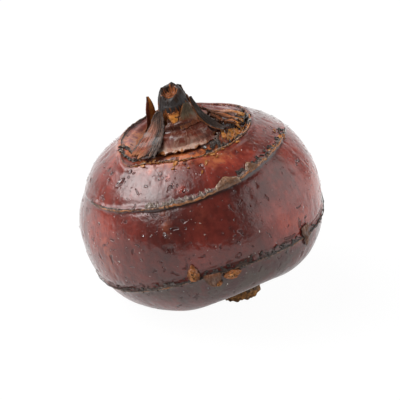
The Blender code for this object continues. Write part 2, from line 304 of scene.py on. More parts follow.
def newForm(operation, name, **settings):  # a plain mesh form
    bpy.ops.object.select_all(action="DESELECT")
    operation(calc_uvs=True, **settings)
    piece = bpy.context.object
    piece.name = piece.data.name = name
    return piece


def newGrid(name, grid):
    operation = bpy.ops.mesh.primitive_grid_add
    return newForm(operation, name, x_subdivisions=grid[0], y_subdivisions=grid[1], size=2)


def newBall(name, segments, rings):
    operation = bpy.ops.mesh.primitive_uv_sphere_add
    return newForm(operation, name, segments=segments, ring_count=rings, radius=1)


def editAll(piece, operation, **settings):  # one operator of edit mode, on the whole mesh
    selectOnly(piece)
    bpy.ops.object.mode_set(mode="EDIT")
    bpy.ops.mesh.select_all(action="SELECT")
    operation(**settings)
    bpy.ops.object.mode_set(mode="OBJECT")


def deleteFaces(piece, unwanted):
    selectOnly(piece)
    bpy.ops.object.mode_set(mode="EDIT")
    bpy.ops.mesh.select_mode(type="FACE")
    bpy.ops.mesh.select_all(action="DESELECT")
    bpy.ops.object.mode_set(mode="OBJECT")
    piece.data.polygons.foreach_set("select", unwanted)
    bpy.ops.object.mode_set(mode="EDIT")
    bpy.ops.mesh.delete(type="FACE")
    bpy.ops.mesh.select_mode(type="VERT")
    bpy.ops.object.mode_set(mode="OBJECT")


def thicken(piece, thickness):
    addModifier(piece, "SOLIDIFY", thickness=thickness, offset=0.0)
    selectOnly(piece)
    bpy.ops.object.shade_smooth_by_angle(angle=math.radians(60))


def addSheet(name, grid, place, relief=None, keep=None, thickness=0.2, closed=False):  # thickness in mm
    piece = newGrid(name, grid)
    flat = readPoints(piece.data)
    across, along = flat[:, 0], 0.5 + 0.5 * flat[:, 1]
    middles = np.empty(len(piece.data.polygons) * 3)
    piece.data.polygons.foreach_get("center", middles)
    middles = middles.reshape(-1, 3)
    points = place(across, along)
    if relief:
        step = 0.004
        acrossWay = place(across + step, along) - place(across - step, along)
        alongWay = place(across, along + step) - place(across, along - step)
        normals = np.cross(acrossWay, alongWay)
        normals /= np.maximum(np.linalg.norm(normals, axis=1), 1e-9)[:, None]
        points = points + normals * relief(across, along)[:, None]
    writePoints(piece.data, toRow(points))
    if keep:
        deleteFaces(piece, ~keep(middles[:, 0], 0.5 + 0.5 * middles[:, 1]))
    if closed:
        editAll(piece, bpy.ops.mesh.remove_doubles, threshold=0.000005)
    thicken(piece, thickness * 0.001)
    return piece


def addBall(name, segments, rings, place):  # a closed form whose rows run from pole to pole
    piece = newBall(name, segments, rings)
    x, y, z = readPoints(piece.data).T
    azimuth = np.where(np.hypot(x, y) > 0.0005, np.arctan2(y, x), 0)
    row = np.rint((np.arcsin(np.clip(z, -1, 1)) / math.pi + 0.5) * rings)
    writePoints(piece.data, toRow(place(azimuth, row)))
    selectOnly(piece)
    bpy.ops.object.shade_smooth()
    return piece


def copyAndJoin(model, name, placings):  # each copy has its own mesh, moved by its placing
    rest = readPoints(model.data)
    copies = []
    for placing in placings:
        item = model.copy()
        item.data = model.data.copy()
        bpy.context.scene.collection.objects.link(item)
        writePoints(item.data, toRow(placing(rest)))
        copies.append(item)
    bpy.data.objects.remove(model)
    selectOnly(*copies)
    bpy.ops.object.join()
    piece = bpy.context.object
    piece.name = piece.data.name = name
    return piece


def setAttribute(mesh, name, values):
    attribute = mesh.attributes.new(name, "FLOAT", "POINT")
    attribute.data.foreach_set("value", np.asarray(values, dtype=np.float32))


def finishPiece(piece, material, slot, node=None):
    piece.data.materials.clear()
    piece.data.materials.append(material)
    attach(piece, "root")
    if node:
        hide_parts(node)


# Node helpers
def rgba(colour):
    return (*colour, 1.0)


def plug(tree, made, inputs):  # links the sockets and sets the constants
    for key, value in inputs.items():
        if isinstance(value, bpy.types.NodeSocket):
            tree.links.new(value, made.inputs[key])
        else:
            made.inputs[key].default_value = value
    return made


def put(tree, kind, inputs=None, **settings):
    made = tree.nodes.new("ShaderNode" + kind)
    for name, value in settings.items():
        setattr(made, name, value)
    return plug(tree, made, inputs or {})


def calc(tree, operation, first, *others, clamp=False):  # takes the values in turn
    for value in others or (0.0,):
        first = put(tree, "Math", {0: first, 1: value}, operation=operation, use_clamp=clamp).outputs[0]
    return first


def swing(tree, layer, amount):  # a layer of noise about its middle
    return calc(tree, "MULTIPLY", calc(tree, "SUBTRACT", layer, 0.5), amount)


def span(tree, value, low, high, start=0.0, end=1.0):
    inputs = {0: value, 1: low, 2: high, 3: start, 4: end}
    return put(tree, "MapRange", inputs, interpolation_type="SMOOTHSTEP").outputs[0]


def mixColour(tree, share, first, second):
    first, second = (
        value if isinstance(value, bpy.types.NodeSocket) else rgba(value) for value in (first, second)
    )
    return put(tree, "Mix", {0: share, 6: first, 7: second}, data_type="RGBA").outputs[2]


def ramp(tree, value, stops):
    made = put(tree, "ValToRGB", {0: value})
    line = made.color_ramp
    while len(line.elements) < len(stops):
        line.elements.new(0.5)
    for element, (place, colour) in zip(line.elements, stops):
        element.position = place
        element.color = rgba(colour)
    return made.outputs[0]


def noise(tree, vector, scale, detail=3.0, roughness=0.55, distortion=0.0):
    labels = ("Vector", "Scale", "Detail", "Roughness", "Distortion")
    return put(tree, "TexNoise", dict(zip(labels, (vector, scale, detail, roughness, distortion)))).outputs[0]


def newGroup(name, inputs, outputs):  # the group, what it is given and its end node
    group = bpy.data.node_groups.new(name, "ShaderNodeTree")
    for label, value in inputs:
        kind = "NodeSocketVector" if value is None else "NodeSocketFloat"
        socket = group.interface.new_socket(name=label, in_out="INPUT", socket_type=kind)
        if value is not None:
            socket.default_value = value
    for label in outputs:
        group.interface.new_socket(name=label, in_out="OUTPUT", socket_type="NodeSocketFloat")
    return group, group.nodes.new("NodeGroupInput").outputs, group.nodes.new("NodeGroupOutput")


def useGroup(tree, group, inputs):
    return put(tree, "Group", inputs, node_tree=group).outputs


def newMaterial(name, constants):
    material = bpy.data.materials.new(name)
    material.use_nodes = True
    tree = material.node_tree
    shader = plug(tree, tree.nodes["Principled BSDF"], {"Metallic": 0.0, **constants})
    return material, tree, shader


def cormVector(tree):  # place on the piece in mm, in the corm's own frame
    centre = cormAxes @ np.array(corm["centre"])
    inputs = {
        "Vector": put(tree, "TexCoord").outputs["Object"],
        "Location": tuple(-centre),
        "Rotation": (0, lean, 0),
        "Scale": (1000, 1000, 1000),
    }
    return put(tree, "Mapping", inputs).outputs[0]


def bumped(tree, height, strength, distance):
    inputs = {"Height": height, "Strength": strength, "Distance": distance}
    return put(tree, "Bump", inputs).outputs[0]


# Shared effect: long fibres along a strip's own length
fibreGroup, given, groupEnd = newGroup(
    "fibreStreaks", (("Vector", None), ("Fibres", 30.0), ("Runs", 1.5), ("Wander", 0.1)), ("Streak", "Fine")
)
flatPlace = put(fibreGroup, "SeparateXYZ", {0: given["Vector"]}).outputs
wander = swing(fibreGroup, noise(fibreGroup, given["Vector"], 3.0, 2.0), given["Wander"])
fibrePlace = put(fibreGroup, "CombineXYZ", {
    0: calc(fibreGroup, "MULTIPLY", calc(fibreGroup, "ADD", flatPlace[0], wander), given["Fibres"]),
    1: calc(fibreGroup, "MULTIPLY", flatPlace[1], given["Runs"]),
    2: flatPlace[2],
}).outputs[0]
plug(fibreGroup, groupEnd, {
    "Streak": span(fibreGroup, noise(fibreGroup, fibrePlace, 0.45, 2.0, 0.6), 0.36, 0.64),
    "Fine": span(fibreGroup, noise(fibreGroup, fibrePlace, 1.6, 3.0, 0.65), 0.3, 0.7),
})


# Shared effect: small dented dashes, scattered one to a cell
def vectorMath(tree, operation, first, second):
    return put(tree, "VectorMath", {0: first, 1: second}, operation=operation).outputs[0]


marksGroup, given, groupEnd = newGroup(
    "dentMarks",
    (("Vector", None), ("Cells", 0.5), ("Stretch", 0.45), ("Size", 0.2), ("Share", 0.5)),
    ("Mask",),
)
warp = put(marksGroup, "TexNoise", {"Vector": given["Vector"], "Scale": 0.35, "Detail": 2.0}).outputs[1]
warp = vectorMath(marksGroup, "SUBTRACT", warp, (0.5, 0.5, 0.5))
warp = vectorMath(marksGroup, "MULTIPLY", warp, (4.0, 4.0, 4.0))
warped = vectorMath(marksGroup, "ADD", given["Vector"], warp)
tall = calc(marksGroup, "MULTIPLY", given["Cells"], given["Stretch"])
cellSize = put(marksGroup, "CombineXYZ", {0: given["Cells"], 1: given["Cells"], 2: tall}).outputs[0]
cellPlace = vectorMath(marksGroup, "MULTIPLY", warped, cellSize)
cells = put(marksGroup, "TexVoronoi", {"Vector": cellPlace, "Scale": 1.0}).outputs
cellDraw = put(marksGroup, "SeparateColor", {0: cells["Color"]}).outputs
reach = calc(marksGroup, "MULTIPLY", given["Size"], calc(marksGroup, "ADD", cellDraw[1], 0.4))
near = calc(marksGroup, "SUBTRACT", 1.0, calc(marksGroup, "DIVIDE", cells["Distance"], reach), clamp=True)
chosen = calc(marksGroup, "LESS_THAN", cellDraw[0], given["Share"])
plug(marksGroup, groupEnd, {"Mask": calc(marksGroup, "MULTIPLY", span(marksGroup, near, 0.0, 0.45), chosen)})

# Shared effect: uneven patches of grime and wear
patchGroup, given, groupEnd = newGroup(
    "wornPatches",
    (("Vector", None), ("Scale", 0.5), ("Low", 0.45), ("High", 0.6), ("Detail", 5.0)),
    ("Mask",),
)
patches = noise(patchGroup, given["Vector"], given["Scale"], given["Detail"], 0.65)
plug(patchGroup, groupEnd, {"Mask": span(patchGroup, patches, given["Low"], given["High"])})

# Skin
skin = {
    "segments": 480,
    "rows": (44, 56, 52, 46),  # underside, waist, shoulder, crown
    "pits": 420,
    "pitSine": (-0.75, 0.8),  # of the profile angle
    "pitSize": (0.16, 0.45),  # mm
    "pitDepth": (0.04, 0.12),
    "pitStretch": (1.0, 2.2),
    "tone": 0.42,  # 0 is the darkest maroon and 1 the brightest red
    "seed": 5,
    # azimuth, profile angle, spread round and up in degrees; then tone, orange and grey patches
    "patches": (
        (-124, 25, 17, 8, 0.1, 0.0, 0.0),  # crimson under the left of the shoulder ring
        (-102, 26.5, 2.0, 9, 0.1, 0.22, 0.0),  # warm streak
        (-138, 8, 3.5, 12, 0.15, 0.2, 0.0),  # warm streak, lower left
        (-77, 19, 19, 10, -0.08, 0.0, 0.0),  # darkest part of the front
        (-84, 22, 4, 8, 0.12, 0.05, 0.0),
        (-150, 46, 18, 12, 0.1, 0.0, 0.0),  # left of the shoulder
        (-91, 40.8, 2.6, 2.6, 0.6, 0.0, 0.0),  # small crimson spots
        (-99, 48.8, 1.6, 1.6, 0.5, 0.0, 0.0),
        (-113, 53.2, 1.6, 1.6, 0.5, 0.0, 0.0),
        (-105, 44, 18, 8, -0.05, 0.0, 0.0),
        (-172, 10, 14, 30, -0.1, 0.0, 0.0),
        (-87, 57, 34, 3.2, 0.35, 0.75, 0.0),  # orange flesh colour by the crown ring
        (-62, 51, 9, 4, 0.4, 0.8, 0.0),
        (-42, 51, 13, 8, 0.34, 0.1, 0.0),  # bright red shoulder
        (-58, 44, 16, 6, 0.2, 0.0, 0.0),
        (-18, 44, 12, 8, -0.1, 0.0, 0.3),
        (-38, 12, 22, 14, 0.12, 0.0, 0.0),  # right flank
        (-14, 14, 24, 22, 0.42, 0.0, 0.0),
        (-12, -8, 20, 9, 0.15, 0.0, 0.3),
        # painted contact shadow and floor reflection, as a darker grey-brown patch
        (-60, -16, 28, 12, -0.35, 0.0, 0.9),  # grey-brown low right
        (-104, -18, 34, 10, -0.2, 0.0, 0.7),
        (-150, 14, 12, 16, 0.05, 0.05, 0.0),
        (168, 71, 17, 5, 0.7, 2.6, 0.0),
        (160, 71.5, 9, 2.5, 0.8, 3.0, 0.0),
        (-162, 64, 18, 3, 0.4, 1.2, 0.0),
        (-140, 64, 12, 3, 0.2, 0.7, 0.0),  # inside the crown ring, left
        (-150, -2, 22, 16, -0.12, 0.0, 0.0),
        # a painted shade line under the shoulder ring
        (-36, 30, 16, 7, -0.1, 0.0, 0.5),  # under the ring, right
        (-168, 66, 22, 8, 0.3, 0.5, 0.1),  # left of the crown
        (-45, -40, 60, 18, -0.1, 0.0, 0.3),
        (60, 45, 40, 14, 0.15, 0.1, 0.0),
        (130, 10, 30, 20, -0.15, 0.0, 0.0),
        (40, -5, 26, 16, 0.2, 0.05, 0.0),
        (-39, -1.0, 7, 5, 0.35, 0.0, 0.0),  # right flank, over the lower ring
        (-55, -14.8, 22, 6, -0.2, 0.0, 0.5),
        (-36, 50.0, 12, 4, -0.24, 0.0, 0.0),  # right of the crown
        (-156, 53.3, 10, 7, 0.26, 0.0, 0.0),  # left shoulder
        (-153, 44.2, 7, 5, 0.2, 0.0, 0.0),
    ),
}
skinStarts = np.cumsum((0, *skin["rows"]))


def skinRow(azimuth, row):  # profile angle of a row, with rows closer together at the rings
    pole = np.full_like(azimuth, math.pi / 2)
    rings = [ringAngle(name, azimuth) for name in ("baseRing", "shoulderRing", "crownRing")]
    stops = np.stack((-pole, *rings, pole))
    part = np.clip(np.searchsorted(skinStarts, row, side="right") - 1, 0, 3)
    share = (row - skinStarts[part]) / np.array(skin["rows"])[part]
    share = 0.5 * share + 0.5 * (0.5 - 0.5 * np.cos(math.pi * share))
    index = np.arange(len(azimuth))
    low, high = stops[part, index], stops[part + 1, index]
    return low + (high - low) * share


def skinPlace(azimuth, row):
    angle = skinRow(azimuth, row)
    lift = np.zeros_like(azimuth)
    draw = np.random.default_rng(skin["seed"])
    for _ in range(skin["pits"]):
        pitAzimuth = draw.uniform(-math.pi, math.pi)
        pitAngle = math.asin(draw.uniform(*skin["pitSine"]))
        size, depth, longer = (draw.uniform(*skin[name]) for name in ("pitSize", "pitDepth", "pitStretch"))
        roundWay = (azimuth - pitAzimuth + math.pi) % math.tau - math.pi
        roundWay = roundWay * corm["radius"] * math.cos(pitAngle)
        upWay = (angle - pitAngle) * corm["arc"] / longer
        lift = lift - depth * bell(np.hypot(roundWay, upWay), 0, size)
    return skinPoint(azimuth, angle, lift)


skinPiece = addBall("cormSkin", skin["segments"], sum(skin["rows"]), skinPlace)
# The flat spot underneath
editAll(
    skinPiece, bpy.ops.mesh.bisect, plane_co=(0, 0, 0), plane_no=(0, 0, 1), use_fill=True, clear_inner=True,
    threshold=0.000001,
)


def skinAngles(points):  # azimuth and profile angle of points of the body, given in the row frame
    points = (points * 1000 - corm["centre"]) @ cormAxes.T
    radius = np.hypot(points[:, 0], points[:, 1]) / corm["radius"]
    upper = points[:, 2] > 0
    height, power = halfForm(upper)
    angle = np.arctan2((np.abs(points[:, 2]) / height) ** (power / 2), radius ** (power / 2))
    return np.arctan2(points[:, 1], points[:, 0]), np.where(upper, angle, -angle)


skinAzimuth, skinAngle = skinAngles(readPoints(skinPiece.data))
aboveCrown, aboveShoulder, aboveBase = ringDistances(skinAzimuth, skinAngle)
tone, orange, grime = toneLayers = np.zeros((3, len(skinAzimuth)))
for centre, level, spreadRound, spreadUp, *amounts in skin["patches"]:
    share = around(skinAzimuth, centre, spreadRound) * bell(np.degrees(skinAngle), level, spreadUp)
    toneLayers += share * np.array(amounts)[:, None]
tone += skin["tone"] + 0.16 * skinNoise(skinAzimuth, skinAngle, 60, 8, 31)
tone += 0.14 * skinNoise(skinAzimuth, skinAngle, 15, 10, 32)
# grey-brown patches along and just under the lower ring
grime += 0.8 * bell(aboveBase, -0.2, 0.9) * baseStrength(skinAzimuth)
broken = 0.35 + 0.65 * smoothStep(-0.5, 0.3, lineNoise(skinAzimuth, 70, 33))
skinValues = {
    "tone": tone,
    "orange": orange,
    "grime": grime,
    # Painted shade: a dark line in the crown ring's groove
    "crownGrooveShade": faded(bell(aboveCrown, 0.1, 0.2), skinAzimuth, "crownGrooveShade") * broken,
    # Painted shadow: a dark line just under the shoulder ring's lip
    "shoulderLipShadow": faded(bell(aboveShoulder, -0.35, 0.3), skinAzimuth, "shoulderLipShadow"),
    "hollow": faded(smoothStep(0.3, 1.2, aboveCrown), skinAzimuth, "hollow"),
    "strip": 1.15 * bell(aboveCrown, 2.2, 1.8) * around(skinAzimuth, -82, 36),
}
for name, values in skinValues.items():
    setAttribute(skinPiece.data, name, values)

skinLooks = {
    "ramp": (
        (0.0, (0.046, 0.008, 0.006)),
        (0.25, (0.085, 0.012, 0.008)),
        (0.5, (0.15, 0.02, 0.013)),
        (0.75, (0.26, 0.034, 0.021)),
        (1.0, (0.38, 0.062, 0.03)),
    ),
    "orange": (0.5, 0.165, 0.06),
    # grey-brown of the skin's patches, partly painted shadow and floor reflection
    "grime": (0.07, 0.047, 0.038),
    "hollow": (0.105, 0.032, 0.019),
    "strip": (0.5, 0.135, 0.04),
    # dark of the painted shade lines, in the crown ring's groove and under the shoulder ring's lip
    "line": (0.022, 0.014, 0.012),
    "mark": (0.045, 0.008, 0.006),
}
skinMaterial, tree, shader = newMaterial("wetSkin", {
    "Specular IOR Level": 0.12, "Coat Roughness": 0.075, "Coat IOR": 1.5,
})
given = {
    name: put(tree, "Attribute", attribute_name=name, attribute_type="GEOMETRY").outputs["Fac"]
    for name in skinValues
}
place = cormVector(tree)
x, y, z = put(tree, "SeparateXYZ", {0: place}).outputs
spread = calc(tree, "SQRT", calc(tree, "ADD", calc(tree, "MULTIPLY", x, x), calc(tree, "MULTIPLY", y, y)))
meridian = put(tree, "CombineXYZ", {
    0: calc(tree, "MULTIPLY", calc(tree, "DIVIDE", x, spread), 20.0),
    1: calc(tree, "MULTIPLY", calc(tree, "DIVIDE", y, spread), 20.0),
    2: calc(tree, "MULTIPLY", z, 0.1),
}).outputs[0]
streaks = noise(tree, meridian, 0.9, 4.0, 0.65)
blotches = noise(tree, place, 0.11, 3.0, 0.5, 0.8)
mottle = noise(tree, place, 0.8, 4.0, 0.6)
grain = noise(tree, place, 4.5, 3.0, 0.6)
dapple = noise(tree, place, 1.5, 3.0, 0.5)
toneSwings = [swing(tree, *layer) for layer in ((streaks, 0.4), (blotches, 0.75), (mottle, 0.6))]
colour = ramp(tree, calc(tree, "ADD", given["tone"], *toneSwings), skinLooks["ramp"])


def markShare(cells, stretch, size, share):
    inputs = {"Vector": place, "Cells": cells, "Stretch": stretch, "Size": size, "Share": share}
    return useGroup(tree, marksGroup, inputs)[0]


dashes = markShare(0.8, 0.42, 0.27, 0.32)
flatDashes = markShare(0.36, 2.4, 0.25, 0.45)
specks = markShare(1.5, 0.8, 0.18, 0.45)
markMask = calc(tree, "MAXIMUM", dashes, calc(tree, "MULTIPLY", specks, 0.7), flatDashes)
# Grey-brown, drier patches: along the lower ring, and painted shadow and floor reflection low on the right
# and under the shoulder ring's right side
greyPatchMask = useGroup(tree, patchGroup, {"Vector": place, "Scale": 0.35, "Low": 0.4, "High": 0.62})[0]
greyPatchShare = calc(tree, "MULTIPLY", given["grime"], greyPatchMask, clamp=True)
orangeShare = calc(tree, "MULTIPLY", given["orange"], span(tree, mottle, 0.38, 0.62))
# Painted shade lines: in the crown ring's groove and just under the shoulder ring's lip
paintedShadeLines = calc(tree, "MAXIMUM", given["crownGrooveShade"], given["shoulderLipShadow"])
for share, name in (
    (greyPatchShare, "grime"),
    (calc(tree, "MULTIPLY", given["hollow"], 0.55), "hollow"),
    (calc(tree, "MINIMUM", orangeShare, 0.9), "orange"),
    (calc(tree, "MULTIPLY", given["strip"], span(tree, mottle, 0.36, 0.56), clamp=True), "strip"),
    (calc(tree, "MULTIPLY", markMask, 0.75), "mark"),
    (calc(tree, "MULTIPLY", paintedShadeLines, span(tree, mottle, 0.25, 0.55, 0.55, 1.0)), "line"),
):
    colour = mixColour(tree, share, colour, skinLooks[name])
dry = calc(
    tree, "MAXIMUM", calc(tree, "MULTIPLY", markMask, 0.45), calc(tree, "MULTIPLY", greyPatchShare, 0.3),
    calc(tree, "MULTIPLY", given["hollow"], 0.3),
)
height = calc(tree, "SUBTRACT", calc(tree, "MULTIPLY", streaks, 0.15), calc(tree, "MULTIPLY", markMask, 1.2))
for layer, amount in ((mottle, 0.9), (dapple, 0.6), (grain, 0.08)):
    height = calc(tree, "ADD", height, calc(tree, "MULTIPLY", layer, amount))
skinNormal = bumped(tree, height, 0.8, 0.00011)
plug(tree, shader, {
    "Base Color": colour,
    "Roughness": calc(
        tree, "ADD", span(tree, mottle, 0.3, 0.7, 0.36, 0.5), calc(tree, "MULTIPLY", given["hollow"], 0.15)
    ),
    "Coat Weight": calc(tree, "SUBTRACT", 1.0, dry, clamp=True),
    "Normal": skinNormal,
    "Coat Normal": skinNormal,
})
finishPiece(skinPiece, skinMaterial, "skin", "corm_body")
print("skin made")

# Papery leaf rings: azimuth in degrees, then mm below and above the ring's line, lift and raggedness
leafRings = {
    "shoulderRing": {
        "grid": (1100, 12), "seed": 41,
        "stations": (
            (-178, 0.02, 0.05, 0.0, 0.05),
            (-156, 0.02, 0.05, 0.0, 0.05),
            (-151, 0.24, 0.34, 0.2, 0.3),
            (-128, 0.34, 0.55, 0.28, 0.6),
            (-121, 0.16, 0.3, 0.14, 0.3),
            (-118, 0.03, 0.1, 0.0, 0.1),
            (-114, 0.06, 0.2, 0.05, 0.2),
            (-107, 0.16, 0.7, 0.16, 0.65),
            (-98, 0.22, 1.3, 0.22, 1.25),
            (-85, 0.24, 1.4, 0.26, 1.35),
            (-72, 0.24, 1.1, 0.3, 0.8),
            (-60, 0.22, 0.8, 0.26, 0.55),
            (-48, 0.2, 1.1, 0.14, 0.95),
            (-33, 0.2, 1.3, 0.13, 1.2),
            (-18, 0.18, 1.1, 0.12, 1.0),
            (-5, 0.1, 0.6, 0.08, 0.6),
            (6, 0.02, 0.1, 0.0, 0.1),
            (60, 0.02, 0.1, 0.0, 0.1),
            (90, 0.08, 0.3, 0.08, 0.25),
            (140, 0.06, 0.25, 0.06, 0.2),
        ),
    },
    "crownRing": {
        "grid": (800, 8), "seed": 42,
        "stations": (
            (-165, 0.02, 0.06, 0.01, 0.06),
            (-138, 0.04, 0.09, 0.02, 0.1),
            (-118, 0.1, 0.26, 0.1, 0.28),
            (-104, 0.2, 0.6, 0.18, 0.75),
            (-82, 0.22, 0.7, 0.2, 0.85),
            (-55, 0.2, 0.9, 0.24, 1.0),
            (-30, 0.18, 1.1, 0.26, 1.1),
            (-5, 0.12, 0.7, 0.2, 0.7),
            (22, 0.06, 0.26, 0.08, 0.28),
            (45, 0.02, 0.1, 0.0, 0.1),
            (95, 0.02, 0.1, 0.0, 0.1),
            (130, 0.04, 0.2, 0.06, 0.18),
        ),
    },
    "baseRing": {
        "grid": (900, 7), "seed": 43,
        "stations": (
            (-170, 0.03, 0.1, 0.02, 0.12),
            (-140, 0.1, 0.36, 0.07, 0.44),
            (-122, 0.16, 0.55, 0.11, 0.7),
            (-100, 0.18, 0.6, 0.13, 0.75),
            (-70, 0.18, 0.6, 0.13, 0.75),
            (-45, 0.18, 0.6, 0.12, 0.75),
            (-10, 0.1, 0.3, 0.07, 0.34),
            (90, 0.03, 0.1, 0.02, 0.1),
        ),
    },
}


# Shared by the ribbons: cells round the body, weight and added seed of each layer of their torn edges
ribbon = {
    "fringe": ((310, 0.3, 0), (118, 0.35, 50), (41, 0.5, 60)),
    "dips": ((300, 0.9, 90), (90, 0.5, 91)),
    "thickness": 0.1,
    "least": 0.02,
    "sunk": 0.25,  # mm under the skin, where the ribbon is worn away
}


def makeLeafRing(name, settings):
    table = np.array(settings["stations"], dtype=float)
    seed = settings["seed"]

    def ringPlace(across, along):
        azimuth = across * math.pi
        turns = azimuth / math.tau
        below, above, lift, ragged = (
            np.interp(np.degrees(azimuth), table[:, 0], values, period=360) for values in table[:, 1:].T
        )
        above = above - ragged * sum(
            weight * raggedLine(turns, cells, seed + more) for cells, weight, more in ribbon["fringe"]
        )
        dip = sum(
            weight * below * (raggedLine(turns, cells, seed + more) - 0.5)
            for cells, weight, more in ribbon["dips"]
        )
        rise = -below - dip + (below + dip + above) * along
        shape = 0.1 + lift * (smoothStep(0, 0.14, along) - 0.62 * smoothStep(0.18, 0.6, along))
        shape = shape * (0.85 + 0.3 * softNoise(turns, along, 170, 2, seed + 130))
        shape = shape + 0.1 * np.sin(along * 2.6) * softNoise(turns, along, 330, 2, seed + 170)
        angle = ringAngle(name, azimuth) + rise / corm["arc"]
        sunk = ribbon["sunk"] * (1 - smoothStep(0.0, 0.03, lift))
        return skinPoint(azimuth, angle, np.maximum(shape, ribbon["least"]) - sunk)

    return addSheet(name, settings["grid"], ringPlace, thickness=ribbon["thickness"], closed=True)


papers = {
    "paperyRing": {
        "ridge": (0.42, 0.19, 0.085), "ridgeDark": (0.06, 0.028, 0.018), "ridgeOrange": (0.48, 0.16, 0.04),
        "fringe": (0.12, 0.06, 0.042), "fringePale": (0.38, 0.28, 0.24), "fringeDark": (0.03, 0.019, 0.015),
    },
    "darkPaperyRing": {
        "ridge": (0.22, 0.12, 0.065), "ridgeDark": (0.026, 0.016, 0.013), "ridgeOrange": (0.28, 0.11, 0.04),
        "fringe": (0.06, 0.036, 0.028), "fringePale": (0.16, 0.11, 0.085),
        "fringeDark": (0.024, 0.016, 0.013),
    },
}
ridgeWidth = (0.24, 0.39)  # shares of the ribbon's height where the ridge ends and the fringe starts


def makePaperMaterial(name, colours):
    material, tree, shader = newMaterial(name, {"Specular IOR Level": 0.2, "Coat Roughness": 0.12})
    flat = put(tree, "UVMap", uv_map="UVMap").outputs[0]
    height = put(tree, "SeparateXYZ", {0: flat}).outputs[1]
    place = cormVector(tree)
    fibres = {"Vector": flat, "Fibres": 420.0, "Runs": 1.0, "Wander": 0.004}
    streak = useGroup(tree, fibreGroup, fibres)["Streak"]
    fine = noise(tree, place, 3.4, 4.0, 0.65)
    broad = noise(tree, place, 0.45, 3.0, 0.5)
    ridge = mixColour(tree, span(tree, fine, 0.43, 0.55), colours["ridgeDark"], colours["ridge"])
    ridge = mixColour(tree, span(tree, broad, 0.5, 0.62, 0.0, 0.8), ridge, colours["ridgeOrange"])
    fringe = mixColour(tree, streak, colours["fringeDark"], colours["fringe"])
    pale = calc(tree, "MULTIPLY", span(tree, fine, 0.52, 0.68), span(tree, broad, 0.42, 0.62))
    fringe = mixColour(tree, pale, fringe, colours["fringePale"])
    edge = calc(tree, "ADD", height, swing(tree, fine, 0.3))
    relief = calc(tree, "ADD", streak, calc(tree, "MULTIPLY", fine, 0.6))
    plug(tree, shader, {
        "Base Color": mixColour(tree, span(tree, edge, *ridgeWidth), ridge, fringe),
        "Roughness": span(tree, fine, 0.3, 0.7, 0.35, 0.6),
        "Coat Weight": span(tree, fine, 0.42, 0.62, 0.05, 0.8),
        "Normal": bumped(tree, relief, 0.8, 0.00008),
    })
    return material


paperMaterials = {name: makePaperMaterial(name, colours) for name, colours in papers.items()}
for name, settings in leafRings.items():
    material = paperMaterials["darkPaperyRing" if name == "baseRing" else "paperyRing"]
    finishPiece(makeLeafRing(name, settings), material, "scale")
print("leaf rings made")


# Sheaths, strands and the neck
def smoothStations(stations, share):  # values of the stations on a smooth curve through them
    table = np.array(stations, dtype=float)
    last = len(table) - 1
    place = np.clip(share, 0, 1) * last
    index = np.minimum(np.floor(place).astype(int), last - 1)
    part = (place - index)[:, None]
    a = table[np.maximum(index - 1, 0)]
    b, c = table[index], table[index + 1]
    d = table[np.minimum(index + 2, last)]
    values = 0.5 * (
        2 * b + (c - a) * part + (2 * a - 5 * b + 4 * c - d) * part ** 2 + (3 * b - a - 3 * c + d) * part ** 3
    )
    return values.T


shootX = 0.25  # mm from the body's axis to the shoot's
# Finish of a fibrous part, where its own looks don't say otherwise
plainFibres = {
    "fibres": 34.0, "runs": 1.6, "wander": 0.08, "darkFibres": 0.6, "dark": (0.03, 0.018, 0.013),
    "paleFibres": 0.3, "pale": (0.4, 0.26, 0.18), "grime": 0.35, "grimeColour": (0.035, 0.028, 0.024),
    "roughness": (0.4, 0.65), "wet": (0.0, 0.35), "coatRoughness": 0.14, "relief": 0.0001,
}


def fibreFinish(name, ownLooks):
    looks = {**plainFibres, **ownLooks}
    material, tree, shader = newMaterial(name, {
        "Specular IOR Level": 0.05, "Coat Roughness": looks["coatRoughness"],
    })
    flat = put(tree, "UVMap", uv_map="UVMap").outputs[0]
    side, height = list(put(tree, "SeparateXYZ", {0: flat}).outputs)[:2]
    place = cormVector(tree)
    streak, fine = useGroup(tree, fibreGroup, {
        "Vector": flat, "Fibres": looks["fibres"], "Runs": looks["runs"], "Wander": looks["wander"],
    })
    broad = noise(tree, place, 0.7, 3.0, 0.55)
    speck = noise(tree, place, 4.0, 4.0, 0.65)
    shifted = calc(tree, "ADD", height, swing(tree, streak, 0.16), swing(tree, broad, 0.3))
    colour = ramp(tree, shifted, looks["along"])
    if "side" in looks:
        sideColour, low, high = looks["side"]
        sideShare = span(tree, calc(tree, "ADD", side, swing(tree, fine, 0.2)), low, high)
        colour = mixColour(tree, sideShare, colour, sideColour)
    darkShare = calc(tree, "MULTIPLY", calc(tree, "SUBTRACT", 1.0, streak), looks["darkFibres"])
    colour = mixColour(tree, darkShare, colour, looks["dark"])
    paleShare = calc(tree, "MULTIPLY", span(tree, fine, 0.62, 0.85), looks["paleFibres"])
    colour = mixColour(tree, paleShare, colour, looks["pale"])
    if "edge" in looks:
        away = calc(tree, "ABSOLUTE", calc(tree, "SUBTRACT", side, 0.5))
        edgeShare = calc(tree, "MULTIPLY", span(tree, away, 0.4, 0.48), span(tree, speck, 0.3, 0.5))
        colour = mixColour(tree, edgeShare, colour, looks["edge"])
    grime = useGroup(tree, patchGroup, {"Vector": place, "Scale": 1.6, "Low": 0.52, "High": 0.68})[0]
    greyPatchShare = calc(tree, "MULTIPLY", grime, looks["grime"])
    relief = calc(tree, "ADD", streak, calc(tree, "MULTIPLY", fine, 0.5), calc(tree, "MULTIPLY", speck, 0.4))
    plug(tree, shader, {
        "Base Color": mixColour(tree, greyPatchShare, colour, looks["grimeColour"]),
        "Roughness": span(tree, speck, 0.3, 0.7, *looks["roughness"]),
        "Coat Weight": span(tree, broad, 0.48, 0.62, *looks["wet"]),
        "Normal": bumped(tree, relief, 0.7, looks["relief"]),
    })
    return material


